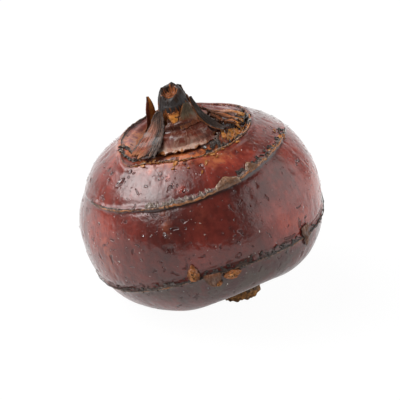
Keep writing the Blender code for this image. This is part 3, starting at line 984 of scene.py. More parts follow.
# Each sheath: stations of azimuth in degrees, radius, height over the hollow's floor and half
# width in mm, from its foot to its tip; then its edges, curl and finish
sheaths = {
    "neck": {
        "node": "sheath_front",
        "stations": (
            (-80, 8.3, 0.1, 5.3), (-79, 7.3, 0.9, 5.0), (-77, 6.0, 1.75, 4.2),
            (-75, 4.8, 2.65, 3.4), (-73, 3.95, 3.65, 2.7), (-70, 3.35, 4.5, 2.2),
        ),
        "grid": (110, 90), "thickness": 0.28, "ragged": 0.1, "curl": -0.1, "ridge": 0.07, "seed": 61,
        "ridges": 16, "waves": 0.34, "folds": 0.3, "foot": 0.09,
        "looks": {
            "along": (
                # the pale band near the foot is pale fibrous tissue with a painted wet highlight
                (0.02, (0.42, 0.14, 0.034)), (0.08, (0.62, 0.43, 0.34)), (0.2, (0.36, 0.18, 0.13)),
                (0.34, (0.12, 0.024, 0.013)), (0.62, (0.1, 0.022, 0.011)), (0.8, (0.085, 0.022, 0.012)),
                (0.9, (0.07, 0.022, 0.012)),
            ),
            "side": ((0.1, 0.022, 0.012), 0.6, 0.85),
            "darkFibres": 0.45, "dark": (0.035, 0.01, 0.007), "paleFibres": 0.22, "fibres": 18.0,
            "runs": 2.6, "wander": 0.35, "wet": (0.1, 1.0), "grime": 0.2,
        },
    },
    "apexScale": {
        "stations": (
            (-59, 5.3, 2.75, 2.0), (-57, 4.35, 3.7, 1.85), (-53, 3.75, 4.9, 1.25), (-48, 3.35, 6.25, 0.25),
        ),
        "grid": (70, 70), "thickness": 0.24, "ragged": 0.1, "curl": -0.16, "ridge": 0.05, "seed": 69,
        "ridges": 9, "waves": 0.14, "foot": 0.1,
        "looks": {
            "along": (
                (0.0, (0.11, 0.026, 0.012)), (0.14, (0.13, 0.034, 0.014)), (0.28, (0.19, 0.058, 0.022)),
                (0.4, (0.17, 0.066, 0.03)), (0.56, (0.105, 0.076, 0.045)), (1.0, (0.085, 0.066, 0.046)),
            ),
            "edge": (0.2, 0.075, 0.026), "darkFibres": 0.45, "paleFibres": 0.1, "wet": (0.0, 0.3),
            "fibres": 16.0,
        },
    },
    "orangeWedge": {
        "stations": (
            (-92, 4.4, 3.25, 0.12), (-91, 4.0, 3.95, 0.5), (-90, 3.62, 4.65, 0.85), (-89, 3.3, 5.35, 1.0),
        ),
        "grid": (30, 40), "thickness": 0.2, "ragged": 0.3, "curl": -0.06, "ridge": 0.06, "seed": 72,
        "ridges": 6, "frayed": 0.2,
        "looks": {
            "along": (
                (0.0, (0.42, 0.12, 0.024)), (0.5, (0.7, 0.26, 0.04)), (1.0, (0.36, 0.1, 0.024)),
            ),
            "darkFibres": 0.35, "paleFibres": 0.15, "fibres": 7.0, "wet": (0.3, 0.9), "grime": 0.1,
        },
    },
    "sheathLeft": {
        "node": "sheath_left",
        "stations": (
            (-127, 11.0, 1.0, 2.8), (-130, 9.4, 1.1, 2.7), (-133, 7.5, 1.45, 2.4), (-136, 5.5, 2.25, 2.0),
            (-138, 4.35, 3.3, 1.6), (-138, 3.6, 4.5, 1.2), (-134, 3.2, 5.6, 0.5),
        ),
        "grid": (84, 110), "thickness": 0.26, "ragged": 0.16, "curl": 0.22, "ridge": 0.08, "seed": 62,
        "foot": 0.16, "ridges": 18, "waves": 0.16,
        "looks": {
            "along": (
                (0.0, (0.6, 0.25, 0.11)), (0.14, (0.44, 0.14, 0.06)), (0.26, (0.27, 0.06, 0.034)),
                (0.45, (0.33, 0.12, 0.085)), (0.65, (0.22, 0.09, 0.062)), (0.82, (0.07, 0.042, 0.032)),
                (1.0, (0.036, 0.028, 0.026)),
            ),
            "side": ((0.024, 0.021, 0.021), 0.5, 0.64),
            "darkFibres": 0.7, "paleFibres": 0.6, "fibres": 30.0, "wet": (0.0, 0.6),
            "edge": (0.15, 0.11, 0.095), "pale": (0.48, 0.25, 0.17),
        },
    },
    "sheathRight": {
        "node": "sheath_right",
        "stations": (
            (-30, 8.9, 1.0, 0.25), (-27, 7.0, 1.55, 0.75), (-23, 5.3, 2.6, 0.95),
            (-16, 4.1, 3.9, 0.9), (-10, 3.5, 5.1, 0.7), (-6, 3.2, 6.2, 0.3),
        ),
        "grid": (60, 90), "thickness": 0.3, "ragged": 0.14, "curl": -0.3, "ridge": 0.05, "seed": 63,
        "ridges": 10,
        "looks": {
            "along": (
                (0.0, (0.05, 0.026, 0.018)), (0.2, (0.026, 0.018, 0.016)), (0.6, (0.024, 0.019, 0.018)),
                (1.0, (0.045, 0.028, 0.024)),
            ),
            "edge": (0.22, 0.075, 0.028), "darkFibres": 0.5, "paleFibres": 0.08, "wet": (0.0, 0.4),
        },
    },
    "sheathBack": {
        "node": "sheath_back",
        "stations": (
            (100, 6.6, 1.35, 4.9), (98, 5.0, 2.5, 4.2), (90, 3.9, 3.65, 3.2),
            (78, 3.3, 5.0, 2.0), (68, 3.05, 6.4, 1.0), (60, 2.95, 7.6, 0.3),
        ),
        "grid": (84, 84), "thickness": 0.28, "ragged": 0.12, "curl": 0.1, "ridge": 0.07, "seed": 64,
        "looks": {
            "along": (
                (0.0, (0.28, 0.11, 0.05)), (0.3, (0.13, 0.055, 0.034)), (0.7, (0.06, 0.04, 0.034)),
                (1.0, (0.045, 0.034, 0.031)),
            ),
            "edge": (0.2, 0.09, 0.05), "darkFibres": 0.6, "paleFibres": 0.25,
        },
    },
    "sheathSliver": {
        "node": "sheath_sliver",
        "stations": (
            (176, 5.5, 1.6, 0.5), (178, 4.6, 2.6, 0.6), (180, 4.1, 4.0, 0.75),
            (183, 3.9, 5.4, 0.8), (187, 3.75, 6.8, 0.55), (190, 3.7, 8.0, 0.12),
        ),
        "grid": (48, 84), "thickness": 0.2, "ragged": 0.06, "curl": 0.1, "ridge": 0.04, "seed": 65,
        "ridges": 8, "twist": 62,
        "looks": {
            "along": (
                (0.0, (0.26, 0.09, 0.04)), (0.3, (0.2, 0.042, 0.022)), (0.7, (0.24, 0.055, 0.028)),
                (1.0, (0.15, 0.045, 0.026)),
            ),
            "side": ((0.62, 0.21, 0.045), 0.66, 0.44), "darkFibres": 0.35, "paleFibres": 0.1,
        },
    },
    "strandBack": {
        "node": "strand_back",
        "stations": ((30, 4.6, 2.75, 0.5), (20, 6.4, 1.6, 0.6), (7, 8.8, 1.3, 0.6), (-4, 11.0, 0.95, 0.7)),
        "grid": (40, 100), "thickness": 0.3, "ragged": 0.16, "curl": -0.1, "ridge": 0.08, "seed": 66,
        "foot": 0.0, "frayed": 0.22, "widen": 1.25, "strand": True,
    },
    "strandMiddle": {
        "node": "strand_middle",
        "stations": ((12, 5.0, 2.4, 0.5), (5, 6.9, 1.4, 0.5), (-5, 9.2, 1.0, 0.5), (-13, 11.1, 0.8, 0.5)),
        "grid": (40, 100), "thickness": 0.3, "ragged": 0.4, "curl": -0.22, "ridge": 0.12, "seed": 67,
        "frayed": 0.25, "widen": 1.3, "strand": True, "ridges": 12, "waves": 0.22,
    },
    "strandFront": {
        "node": "strand_front",
        "stations": ((-2, 5.4, 2.0, 0.4), (-8, 7.2, 1.1, 0.4), (-15, 9.4, 0.85, 0.4), (-22, 11.0, 0.7, 0.4)),
        "grid": (36, 100), "thickness": 0.28, "ragged": 0.4, "curl": -0.22, "ridge": 0.12, "seed": 68,
        "frayed": 0.25, "widen": 1.3, "strand": True, "ridges": 12, "waves": 0.22,
    },
}
strandLooks = {
    "along": (
        (0.0, (0.13, 0.045, 0.022)), (0.35, (0.3, 0.085, 0.026)), (0.7, (0.4, 0.125, 0.03)),
        (1.0, (0.6, 0.27, 0.055)),
    ),
    "edge": (0.09, 0.036, 0.02), "darkFibres": 0.5, "paleFibres": 0.15, "fibres": 9.0, "grime": 0.3,
    "wet": (0.1, 0.7),
}
strandMaterial = fibreFinish("fibrousStrand", strandLooks)
# Form of a sheath, where its own entry doesn't say otherwise
plainSheath = {
    "node": None, "widen": 1.06, "twist": 0, "ridges": 20, "waves": 0.1, "folds": 0.0, "foot": 0.04,
    "frayed": 0.03, "strand": False,
}


def makeSheath(name, settings):
    seed = settings["seed"]

    def edgeShare(across, along):  # torn edges are narrower
        edge = np.where(across > 0, raggedLine(along, 34, seed), raggedLine(along, 34, seed + 9))
        return 1 - settings["ragged"] * edge * np.abs(across) ** 3

    def place(across, along):
        azimuth, radius, height, halfWidth = smoothStations(settings["stations"], along)
        halfWidth = halfWidth * settings["widen"] * edgeShare(across, along)
        twist = math.radians(settings["twist"])
        turn = np.radians(azimuth) + across * halfWidth * math.cos(twist) / radius
        radius = radius + across * halfWidth * math.sin(twist)
        return np.stack((
            radius * np.cos(turn) + shootX, radius * np.sin(turn), height + corm["floor"]
        ), axis=1)

    def relief(across, along):
        ridges = softNoise(across * 0.4 + 0.5, along, settings["ridges"], 5, seed + 20)
        waves = softNoise(across * 0.3 + 0.5, along, 5, 8, seed + 30)
        folds = softNoise(across * 0.3 + 0.5, along, 4, 15, seed + 33)
        uneven = settings["ridge"] * ridges + settings["waves"] * waves + settings["folds"] * folds
        return uneven + settings["curl"] * np.abs(across) ** 3

    def keep(across, along):
        fibre = raggedLine(across * 0.45 + 0.5, 22, seed + 40)
        tear = raggedLine(across * 0.45 + 0.5, 15, seed + 41)
        return (along > settings["foot"] * fibre) & (along < 1 - settings["frayed"] * tear)

    return addSheet(name, settings["grid"], place, relief, keep, settings["thickness"])


for name, ownSettings in sheaths.items():
    settings = {**plainSheath, **ownSettings}
    if settings["strand"]:
        material, slot = strandMaterial, "strand"
    else:
        material, slot = fibreFinish(name + "Finish", settings["looks"]), "sheath"
    finishPiece(makeSheath(name, settings), material, slot, settings["node"])
print("sheaths made")

# Shoot: radius and height over the floor in mm, from the middle of its foot, up its outside,
# over the broken rim and down into the hollow tip
shoot = {
    "profile": (
        (0.0, 0.3), (6.9, 0.32), (7.25, 0.42), (6.2, 0.8), (4.9, 1.6), (3.9, 2.7), (3.15, 3.9),
        (2.75, 4.7), (2.55, 5.4), (2.4, 6.2), (2.18, 7.0), (1.88, 7.6), (1.55, 7.84), (1.28, 7.72),
        (1.12, 7.4), (0.9, 7.15), (0.5, 7.05), (0.0, 7.0),
    ),
    "segments": 128,
    "rings": 130,
    # Shares of the profile where each part starts, is full, wanes and ends
    "outside": (0.1, 0.2, 0.7, 0.75),
    "skirt": (0.02, 0.08, 0.12, 0.34),  # its foot, spread on the floor
    "rim": (12 / 17, 0.055),  # share and spread
    "inner": (0.76, 0.86),
    "slant": (5.6, 7.4),  # heights in mm where the slant of its top starts and is full
    "slope": 0.42,
    "rimJag": 0.6,
    "ridge": 0.055,
    "seed": 71,
}


def plateau(value, start, full, wane, end):
    return smoothStep(start, full, value) * (1 - smoothStep(wane, end, value))


def shootPlace(azimuth, row):
    seed = shoot["seed"]
    along = row / shoot["rings"]
    turns = azimuth / math.tau
    radius, height = smoothStations(shoot["profile"], along)
    radius = np.maximum(radius, 0)
    ridges = softNoise(turns, along, 44, 9, seed) + 0.6 * softNoise(turns, along, 100, 5, seed + 1)
    ridges = plateau(along, *shoot["outside"]) * shoot["ridge"] * ridges
    radius = radius + ridges * np.clip(radius / 2, 0.5, 2)
    skirt = plateau(along, *shoot["skirt"])
    edge = 0.07 * softNoise(turns, along, 13, 3, seed + 5) + 0.06 * raggedLine(turns, 60, seed + 6)
    radius = radius * (1 + skirt * (edge - 0.06))
    height = height + 0.09 * skirt * softNoise(turns, along, 30, 6, seed + 7)
    jag = shoot["rimJag"] * (raggedLine(turns, 15, seed + 2) - 0.5)
    height = height + jag * bell(along, *shoot["rim"])
    height = height + 0.22 * smoothStep(*shoot["inner"], along) * softNoise(turns, along, 9, 12, seed + 3)
    x, y = radius * np.cos(azimuth), radius * np.sin(azimuth)
    top = height + shoot["slope"] * y * smoothStep(*shoot["slant"], height)
    return np.stack((x + shootX, y, top + corm["floor"]), axis=1)


shootPiece = addBall("brokenShoot", shoot["segments"], shoot["rings"], shootPlace)
shootMaterial = fibreFinish("charredShoot", {
    "along": (
        (0.1, (0.3, 0.1, 0.036)), (0.2, (0.11, 0.03, 0.016)), (0.3, (0.06, 0.014, 0.009)),
        (0.37, (0.3, 0.095, 0.026)), (0.43, (0.24, 0.07, 0.02)), (0.47, (0.04, 0.034, 0.033)),
        (0.64, (0.046, 0.041, 0.041)), (0.69, (0.03, 0.018, 0.013)), (0.8, (0.04, 0.02, 0.014)),
        (0.88, (0.36, 0.11, 0.036)),
    ),
    "fibres": 60.0, "runs": 5.0, "wander": 0.02, "darkFibres": 0.3, "paleFibres": 0.06,
    "pale": (0.12, 0.11, 0.11), "grime": 0.15, "wet": (0.1, 0.4), "roughness": (0.35, 0.55),
})
finishPiece(shootPiece, shootMaterial, "shoot", "shoot_bud")
print("shoot made")

# Scales that lie on the skin: azimuth, profile angles of root and tip in degrees, half width in mm
scaleLooks = {
    "along": (
        (0.0, (0.24, 0.105, 0.05)), (0.3, (0.13, 0.06, 0.032)), (0.7, (0.21, 0.095, 0.048)),
        (1.0, (0.34, 0.18, 0.09)),
    ),
    # the pale edge is a painted highlight, the glint along the wet outline
    "edge": (0.34, 0.22, 0.14), "darkFibres": 0.45, "paleFibres": 0.3, "fibres": 22.0, "wet": (0.4, 1.0),
    "coatRoughness": 0.08, "grime": 0.25,
}
darkScaleLooks = {
    "along": ((0.0, (0.19, 0.075, 0.04)), (0.4, (0.12, 0.056, 0.034)), (1.0, (0.19, 0.08, 0.04))),
    "edge": (0.07, 0.04, 0.028), "darkFibres": 0.4, "paleFibres": 0.3, "fibres": 14.0, "wet": (0.2, 0.8),
    "coatRoughness": 0.08, "grime": 0.2,
}
scaleMaterial = fibreFinish("paperyScale", scaleLooks)
darkScaleMaterial = fibreFinish("darkScale", darkScaleLooks)
# Each scale: node, spot, then the mm that it bulges and stands off the skin, and seed
scales = {
    "scaleShoulder": ("scale_shoulder", (-66.0, 34.2, 40.0, 2.2), 0.35, 0.35, 81),
    "scaleLower": ("scale_lower", (-86.4, -5.0, -13.2, 1.5), 0.25, 0.32, 82),
    "scaleLowerRight": ("scale_lower_right", (-36.0, -4.0, -16.5, 0.9), 0.28, 0.24, 83),
    "scaleBubble": (None, (-48.5, 36.6, 41.5, 1.1), 0.5, 0.12, 84),
}


scaleForm = {"taper": 2.2, "tip": 0.12, "torn": 0.15, "roundness": 0.7, "waves": 0.09, "thickness": 0.16}


def makeScale(name, node, spot, bulge, lift, seed):
    azimuth, root, tip, halfWidth = spot

    def place(across, along):
        width = halfWidth * (1 - np.clip(along, 0, 1) ** scaleForm["taper"]) + scaleForm["tip"]
        width = width * (1 - scaleForm["torn"] * raggedLine(along, 16, seed) * np.abs(across))
        up = math.radians(tip - root) * along * corm["arc"]
        bulging = bulge * (1 - across ** 2)
        bulging = bulging * np.sin(math.pi * np.clip(along, 0, 1)) ** scaleForm["roundness"]
        waves = scaleForm["waves"] * softNoise(across * 0.4 + 0.5, along, 9, 5, seed + 5)
        return onSkin(azimuth, root, across * width, up, lift + bulging + waves)

    material = darkScaleMaterial if name.startswith("scaleLower") else scaleMaterial
    finishPiece(addSheet(name, (60, 60), place, thickness=scaleForm["thickness"]), material, "scale", node)


for name, values in scales.items():
    makeScale(name, *values)
print("scales made")

# Side buds, crumbly orange knobs on the lower ring: node, spot in degrees, half sizes round and up
# and height in mm, and seed
buds = {
    "sideBudLeft": ("side_bud_left", (-94.3, -4.0), (0.85, 1.05), 0.75, 91),
    "sideBudRight": ("side_bud_right", (-77.5, -8.0), (1.4, 0.8), 0.8, 92),
    "sideBudSmall": (None, (-84.6, -11.6), (0.5, 0.6), 0.7, 93),
}
budMaterial = fibreFinish("crumblyBud", {
    "along": (
        (0.0, (0.06, 0.025, 0.014)), (0.45, (0.13, 0.042, 0.018)), (0.7, (0.36, 0.115, 0.03)),
        (1.0, (0.48, 0.21, 0.065)),
    ),
    "fibres": 9.0, "runs": 3.0, "darkFibres": 0.6, "paleFibres": 0.25, "grime": 0.7, "wet": (0.2, 0.8),
})


# Crumbs: cells round and up, share of the bud's size and added seed of each layer
budForm = {"crumbs": ((9, 8, 0.26, 0), (22, 18, 0.2, 7)), "foot": 0.25, "lift": 0.15}


def makeBud(name, node, spot, half, height, seed):
    rings = 40

    def place(turn, row):
        level = math.pi * (row / rings - 0.5)
        crumbs = 1
        for across, high, share, more in budForm["crumbs"]:
            crumbs = crumbs + share * softNoise(turn / math.tau, row / rings, across, high, seed + more)
        flat, up = np.cos(level) * crumbs, np.sin(level)
        lift = np.where(up > 0, up * height * crumbs, up * budForm["foot"]) + budForm["lift"]
        return onSkin(*spot, flat * np.cos(turn) * half[0], flat * np.sin(turn) * half[1], lift)

    finishPiece(addBall(name, 48, rings, place), budMaterial, "bud", node)


for name, values in buds.items():
    makeBud(name, *values)
print("side buds made")

# Root stub: an oval peg under the body, broken off in fibres
stub = {
    "middle": (3.4, -3.9),
    "radii": (3.6, 2.5),
    "turn": 22,
    "direction": (0.1, -0.42, -0.9),
    "length": 2.6,
    "rounding": 0.8,
    "sunk": 0.09,  # mm into the body
    "broken": 0.42,  # share of its rows on the broken end
    "foot": 0.72,  # share of its rows up to the body
    "lowest": 0.00002,  # metres over the ground
    "segments": 96,
    "rings": 60,
    "seed": 101,
}
stubWay = np.array(stub["direction"]) / np.linalg.norm(stub["direction"])


def undersideHeight(x, y):  # height of the body's underside over points, by halving the angle
    azimuth, wanted = np.arctan2(y, x), np.hypot(x, y)
    low, high = np.full_like(x, -math.pi / 2), np.zeros_like(x)
    for _ in range(30):
        middle = 0.5 * (low + high)
        point = skinPoint(azimuth, middle)
        short = np.hypot(point[:, 0], point[:, 1]) < wanted
        low, high = np.where(short, middle, low), np.where(short, high, middle)
    return skinPoint(azimuth, low)[:, 2]


def stubPlace(azimuth, row):
    along = row / stub["rings"]  # 0 at the middle of the broken end, 1 under the body
    broken, foot, seed = stub["broken"], stub["foot"], stub["seed"]
    turns = azimuth / math.tau
    reach = 1 - smoothStep(broken, foot, along)
    size = np.where(along < broken, along / broken, np.where(along < foot, 1.0, (1 - along) / (1 - foot)))
    size = size * (1 + 0.05 * softNoise(turns, along, 22, 5, seed)) * (1 - 0.14 * reach)
    acrossX, acrossY = (radius * way(azimuth) * size for radius, way in zip(stub["radii"], (np.cos, np.sin)))
    x, y = (start + way for start, way in zip(stub["middle"], turned(acrossX, acrossY, stub["turn"])))
    points = np.stack((x, y, undersideHeight(x, y) - stub["sunk"]), axis=1)
    rounding = np.where(along < broken, smoothStep(0.45, 1.0, along / broken), reach)
    fibres = 0.36 * softNoise(turns, along, 34, 18, seed + 3) * (along < 0.5)
    length = stub["length"] * reach - stub["rounding"] * rounding + fibres * smoothStep(0.0, broken, along)
    return points + length[:, None] * stubWay


stubPiece = addBall("rootStub", stub["segments"], stub["rings"], stubPlace)
stubPoints = readPoints(stubPiece.data)
stubPoints[:, 2] = np.maximum(stubPoints[:, 2], stub["lowest"])
writePoints(stubPiece.data, stubPoints)
stubMaterial = fibreFinish("brokenRoot", {
    "along": (
        (0.0, (0.34, 0.15, 0.05)), (0.25, (0.32, 0.15, 0.055)), (0.38, (0.045, 0.026, 0.016)),
        (0.44, (0.36, 0.165, 0.055)), (0.55, (0.4, 0.19, 0.065)), (0.61, (0.03, 0.018, 0.012)),
        (1.0, (0.022, 0.015, 0.011)),
    ),
    "fibres": 46.0, "runs": 4.0, "wander": 0.05, "darkFibres": 0.7, "paleFibres": 0.5, "grime": 0.6,
    "pale": (0.4, 0.22, 0.09), "wet": (0.0, 0.3), "roughness": (0.6, 0.85), "relief": 0.00018,
})
finishPiece(stubPiece, stubMaterial, "stub", "root_stub")
print("root stub made")

# Torn bits on the rings: azimuth, profile angle, length and width in mm, heading in degrees, lift in mm
tornBits = {
    "seed": 111,
    "placed": (
        (-23, 61.0, 2.6, 1.3, 20, 0.6), (-18, 59.0, 2.2, 1.1, -30, 0.7), (-27, 63.0, 2.8, 1.0, 5, 0.5),
        (-14, 58.0, 1.8, 0.9, 60, 0.6), (-22, 58.5, 1.7, 0.8, 80, 0.6), (-30, 66.0, 2.4, 0.9, 30, 0.6),
        (-92, 60.5, 1.6, 0.5, 5, 0.3), (-82, 60.0, 1.4, 0.45, -8, 0.3), (-120, 61.5, 1.5, 0.6, -30, 0.4),
        (-126, 60.5, 1.2, 0.6, 40, 0.4), (-116, 63.0, 1.0, 0.5, 70, 0.4),
    ),
    "chips": (
        (-71, 51.4, 1.0, 0.4, 60, 0.14), (-62, 52.1, 0.6, 0.25, 20, 0.12), (-76, 47.3, 0.7, 0.3, 70, 0.12),
        (-95, 53.3, 0.7, 0.25, 10, 0.12), (-84, 51.8, 0.5, 0.22, -20, 0.12),
    ),
    "orange": (
        (-13.5, 38.4, 1.2, 0.5, 35, 0.25), (-11.0, 37.6, 0.9, 0.5, -20, 0.25),
        (-9.0, 36.2, 0.8, 0.4, 60, 0.2),
        (-25, 39.0, 0.5, 0.4, 20, 0.2), (-30, 39.3, 0.45, 0.35, -40, 0.2), (-8.0, 42.0, 0.6, 0.3, 70, 0.2),
    ),
    # How many, ring, then ranges of azimuth, size in mm, degrees over the ring's line, share of width
    # to size, heading and lift
    "orangeRows": (
        (30, "crownRing", (-128, -40), (0.4, 1.1), (-2.2, 1.2), (0.3, 0.6), (-50, 50), (0.08, 0.22)),
        (26, "shoulderRing", (-60, -5), (0.25, 0.6), (-0.8, 0.6), 0.45, (-30, 30), (0.08, 0.18)),
    ),
    "greyRows": (
        (84, "crownRing", (-66, 22), (0.5, 1.6), (0.3, 10.0), (0.4, 0.8), (-90, 90), (0.15, 0.6)),
        (60, "shoulderRing", (-62, 0), (0.3, 0.8), (0.5, 3.5), (0.4, 0.8), (-90, 90), (0.08, 0.22)),
        (120, "baseRing", (-145, -20), (0.25, 0.85), (-1.4, 2.4), 0.5, (-40, 40), (0.06, 0.18)),
    ),
    # the dark loop of scraps paints the shade of a crevice in the crown's left
    "loop": (-151, 63.0),  # middle of the loop of scraps in the crown's left, in degrees
    "loopBits": 26,
    "glints": (-106, -103.5, -101, -98.5, -96, -93.5, -91, -85.5, -83, -80.5, -66, -58, -50, -121, -128),
}


def bitPlacing(azimuth, angle, length, width, heading, lift):
    def placing(rest):
        x, y = turned(rest[:, 0] * length * 0.5, rest[:, 1] * width * 0.5, heading)
        rise = lift * (0.6 + 0.5 * rest[:, 0] + 0.5 * rest[:, 1] ** 2) + rest[:, 2]
        return onSkin(azimuth, angle, x, y, np.maximum(rise, 0.03))

    return placing


def bitModel(seed, grid):  # a torn scrap, from -1 to 1 each way and 0.12 thick
    piece = newGrid("scrap", grid)
    x, y = readPoints(piece.data)[:, :2].T
    taper = (1 - 0.55 * np.abs(x) ** 2) * (0.75 + 0.5 * raggedLine(x * 0.5, 9, seed))
    length = 0.8 + 0.35 * raggedLine(y * 0.5, 7, seed + 1)
    waves = 0.1 * softNoise(x * 0.5, y * 0.5 + 0.5, 6, 4, seed + 2)
    writePoints(piece.data, np.stack((x * length, y * taper, waves), axis=1))
    thicken(piece, 0.12)
    return piece


def lineDegrees(ring, azimuth):
    return math.degrees(float(ringAngle(ring, math.radians(azimuth))))


def rowOfBits(draw, count, ring, azimuths, sizes, offsets, widths, headings, lifts):
    made = []
    for _ in range(count):
        azimuth, size = draw.uniform(*azimuths), draw.uniform(*sizes)
        angle = lineDegrees(ring, azimuth) + draw.uniform(*offsets)
        width = size * (draw.uniform(*widths) if isinstance(widths, tuple) else widths)
        made.append(bitPlacing(azimuth, angle, size, width, draw.uniform(*headings), draw.uniform(*lifts)))
    return made


def drawnBit(azimuth, angle, *ranges):  # ranges of length and width in mm, heading and lift
    return bitPlacing(azimuth, angle, *(draw.uniform(*limits) for limits in ranges))


def loopPlace(turn, reach, rise, jitterRound, jitterUp):  # a spot on the loop of scraps
    azimuth, angle = tornBits["loop"]
    return (
        azimuth + reach * math.cos(turn) + draw.uniform(-jitterRound, jitterRound),
        angle + rise * math.sin(turn) + draw.uniform(-jitterUp, jitterUp),
    )


draw = np.random.default_rng(tornBits["seed"] + 1)
orangeBits = [bitPlacing(*values) for values in tornBits["placed"] + tornBits["orange"] + tornBits["chips"]]
for row in tornBits["orangeRows"]:
    orangeBits += rowOfBits(draw, *row)
draw = np.random.default_rng(tornBits["seed"])
greyCrown, *greyOthers = tornBits["greyRows"]
greyBitsAndCreviceShade = rowOfBits(draw, *greyCrown)
# Dark scraps in a loop: painted shade of a crevice
loopTurns = np.linspace(0, math.tau, tornBits["loopBits"], endpoint=False)
for turn in loopTurns:
    heading = math.degrees(turn) + 90
    greyBitsAndCreviceShade.append(drawnBit(
        *loopPlace(turn, 14, 2.2, 1, 0.3), (0.9, 1.5), (0.35, 0.6), (heading - 25, heading + 25), (0.1, 0.28)
    ))
for row in greyOthers:
    greyBitsAndCreviceShade += rowOfBits(draw, *row)

# Pale wet fibres upright over the shoulder ring; the pale bits round the crown's loop, in its right and along
# the crown ring's groove are painted glints
paleFibresAndGlints = []
for _ in range(42):
    azimuth, size = draw.uniform(-112, -74), draw.uniform(0.5, 1.3)
    angle = lineDegrees("shoulderRing", azimuth) + 0.4 + size * 1.2
    paleFibresAndGlints.append(bitPlacing(
        azimuth, angle, size, size * draw.uniform(0.18, 0.35), draw.uniform(55, 115), draw.uniform(0.1, 0.25)
    ))
for turn in loopTurns[::2]:
    spot = loopPlace(turn, 14.5, 2.5, 2, 0.5)
    paleFibresAndGlints.append(drawnBit(*spot, (0.4, 0.8), (0.15, 0.28), (0, 180), (0.2, 0.35)))
for _ in range(14):
    spot = draw.uniform(-48, -12), draw.uniform(61, 68)
    paleFibresAndGlints.append(drawnBit(*spot, (0.3, 0.6), (0.14, 0.26), (0, 180), (0.35, 0.6)))
for azimuth in tornBits["glints"]:
    angle = lineDegrees("crownRing", azimuth) + draw.uniform(-0.2, 0.5)
    paleFibresAndGlints.append(drawnBit(azimuth, angle, (0.5, 1.0), (0.18, 0.32), (-25, 25), (0.2, 0.35)))
for _ in range(30):
    azimuth = draw.uniform(-60, -5)
    angle = lineDegrees("shoulderRing", azimuth) + draw.uniform(-0.6, 0.8)
    paleFibresAndGlints.append(drawnBit(azimuth, angle, (0.25, 0.6), (0.12, 0.25), (-30, 30), (0.1, 0.22)))

orangeBitLooks = {
    "along": ((0.0, (0.46, 0.13, 0.028)), (1.0, (0.72, 0.3, 0.07))),
    "fibres": 8.0, "darkFibres": 0.35, "pale": (0.8, 0.5, 0.2), "grime": 0.15, "wet": (0.3, 0.9),
}
greyBitAndShadeLooks = {
    "along": ((0.0, (0.028, 0.02, 0.017)), (1.0, (0.07, 0.045, 0.036))),
    "fibres": 8.0, "darkFibres": 0.5, "paleFibres": 0.5, "pale": (0.3, 0.26, 0.24), "wet": (0.5, 1.0),
}
# pale colour: of fibres, and a painted highlight on the glints
paleFibreAndGlintLooks = {
    "along": ((0.0, (0.3, 0.21, 0.16)), (1.0, (0.52, 0.42, 0.35))),
    "fibres": 8.0, "darkFibres": 0.4, "paleFibres": 0.4, "pale": (0.7, 0.64, 0.6), "wet": (0.4, 1.0),
    "dark": (0.12, 0.06, 0.04), "coatRoughness": 0.06, "grime": 0.2,
}
for name, model, bits, finish, looks, slot in (
    ("orangeScraps", bitModel(112, (12, 8)), orangeBits, "orangeScrap", orangeBitLooks, "strand"),
    ("greyScraps", bitModel(113, (5, 3)), greyBitsAndCreviceShade, "greyScrapAndShade", greyBitAndShadeLooks, "scale"),
    ("paleFibres", bitModel(114, (5, 3)), paleFibresAndGlints, "paleScrapAndGlint", paleFibreAndGlintLooks, "scale"),
):
    finishPiece(copyAndJoin(model, name, bits), fibreFinish(finish, looks), slot)
print("torn bits made")

# Drops of water: azimuth, profile angle, half length, half width in mm, heading in degrees
drops = {
    "seed": 121,
    "placed": (
        (-147, 46, 0.42, 0.34, 0), (-135, 46.1, 1.25, 0.55, 66), (-146, 36.5, 0.42, 0.34, 0),
        (-103, 19, 0.36, 0.28, 80), (-114, 19, 0.24, 0.2, 0), (-75, 51, 0.5, 0.36, 20),
        (-96, 44.5, 0.75, 0.3, 75), (-104, 49, 0.55, 0.3, 20), (-60, 53, 0.35, 0.25, 0),
        (-70, 17, 0.36, 0.15, 60), (-72, 14, 0.2, 0.14, 0), (-65, 17.5, 0.3, 0.14, -30),
        (-144, 35.5, 0.5, 0.4, 0), (-91, 40.3, 0.75, 0.45, 30), (-105, 51.6, 0.6, 0.32, 70),
        (-99, 47.7, 0.45, 0.3, 20),
        (-148, 49.6, 0.4, 0.3, 0), (-130, 52.8, 0.45, 0.3, 60), (-114, 45.5, 0.4, 0.28, 0),
    ),
    # How many are scattered, then ranges of size in mm, of the sine of their angle and of length to width
    "drops": (520, (0.06, 0.24), (-0.35, 0.9), (1.0, 1.8)),
    "specks": (260, (0.045, 0.105), (-0.3, 0.93), (1.0, 2.6)),
    "dome": 0.62,  # height to half width
    "foot": 0.05,
    "lift": 0.01,
}


def dropPlacing(azimuth, angle, halfLength, halfWidth, heading):
    height = drops["dome"] * min(halfLength, halfWidth)

    def placing(rest):
        x, y = turned(rest[:, 0] * halfLength, rest[:, 1] * halfWidth, heading)
        rise = rest[:, 2] * np.where(rest[:, 2] > 0, height, drops["foot"])
        return onSkin(azimuth, angle, x, y, rise + drops["lift"])

    return placing


def scatteredDrops(seed, count, sizes, sines, stretches):
    draw = np.random.default_rng(seed)
    for _ in range(count):
        size = sizes[0] + (sizes[1] - sizes[0]) * draw.uniform() ** 2
        yield dropPlacing(
            draw.uniform(-180, 180), math.degrees(math.asin(draw.uniform(*sines))),
            size * draw.uniform(*stretches), size, draw.uniform(0, 180),
        )


def makeDrops(name, segments, rings, placings):
    model = newBall(name, segments, rings)
    bpy.ops.object.shade_smooth()
    return copyAndJoin(model, name, placings)


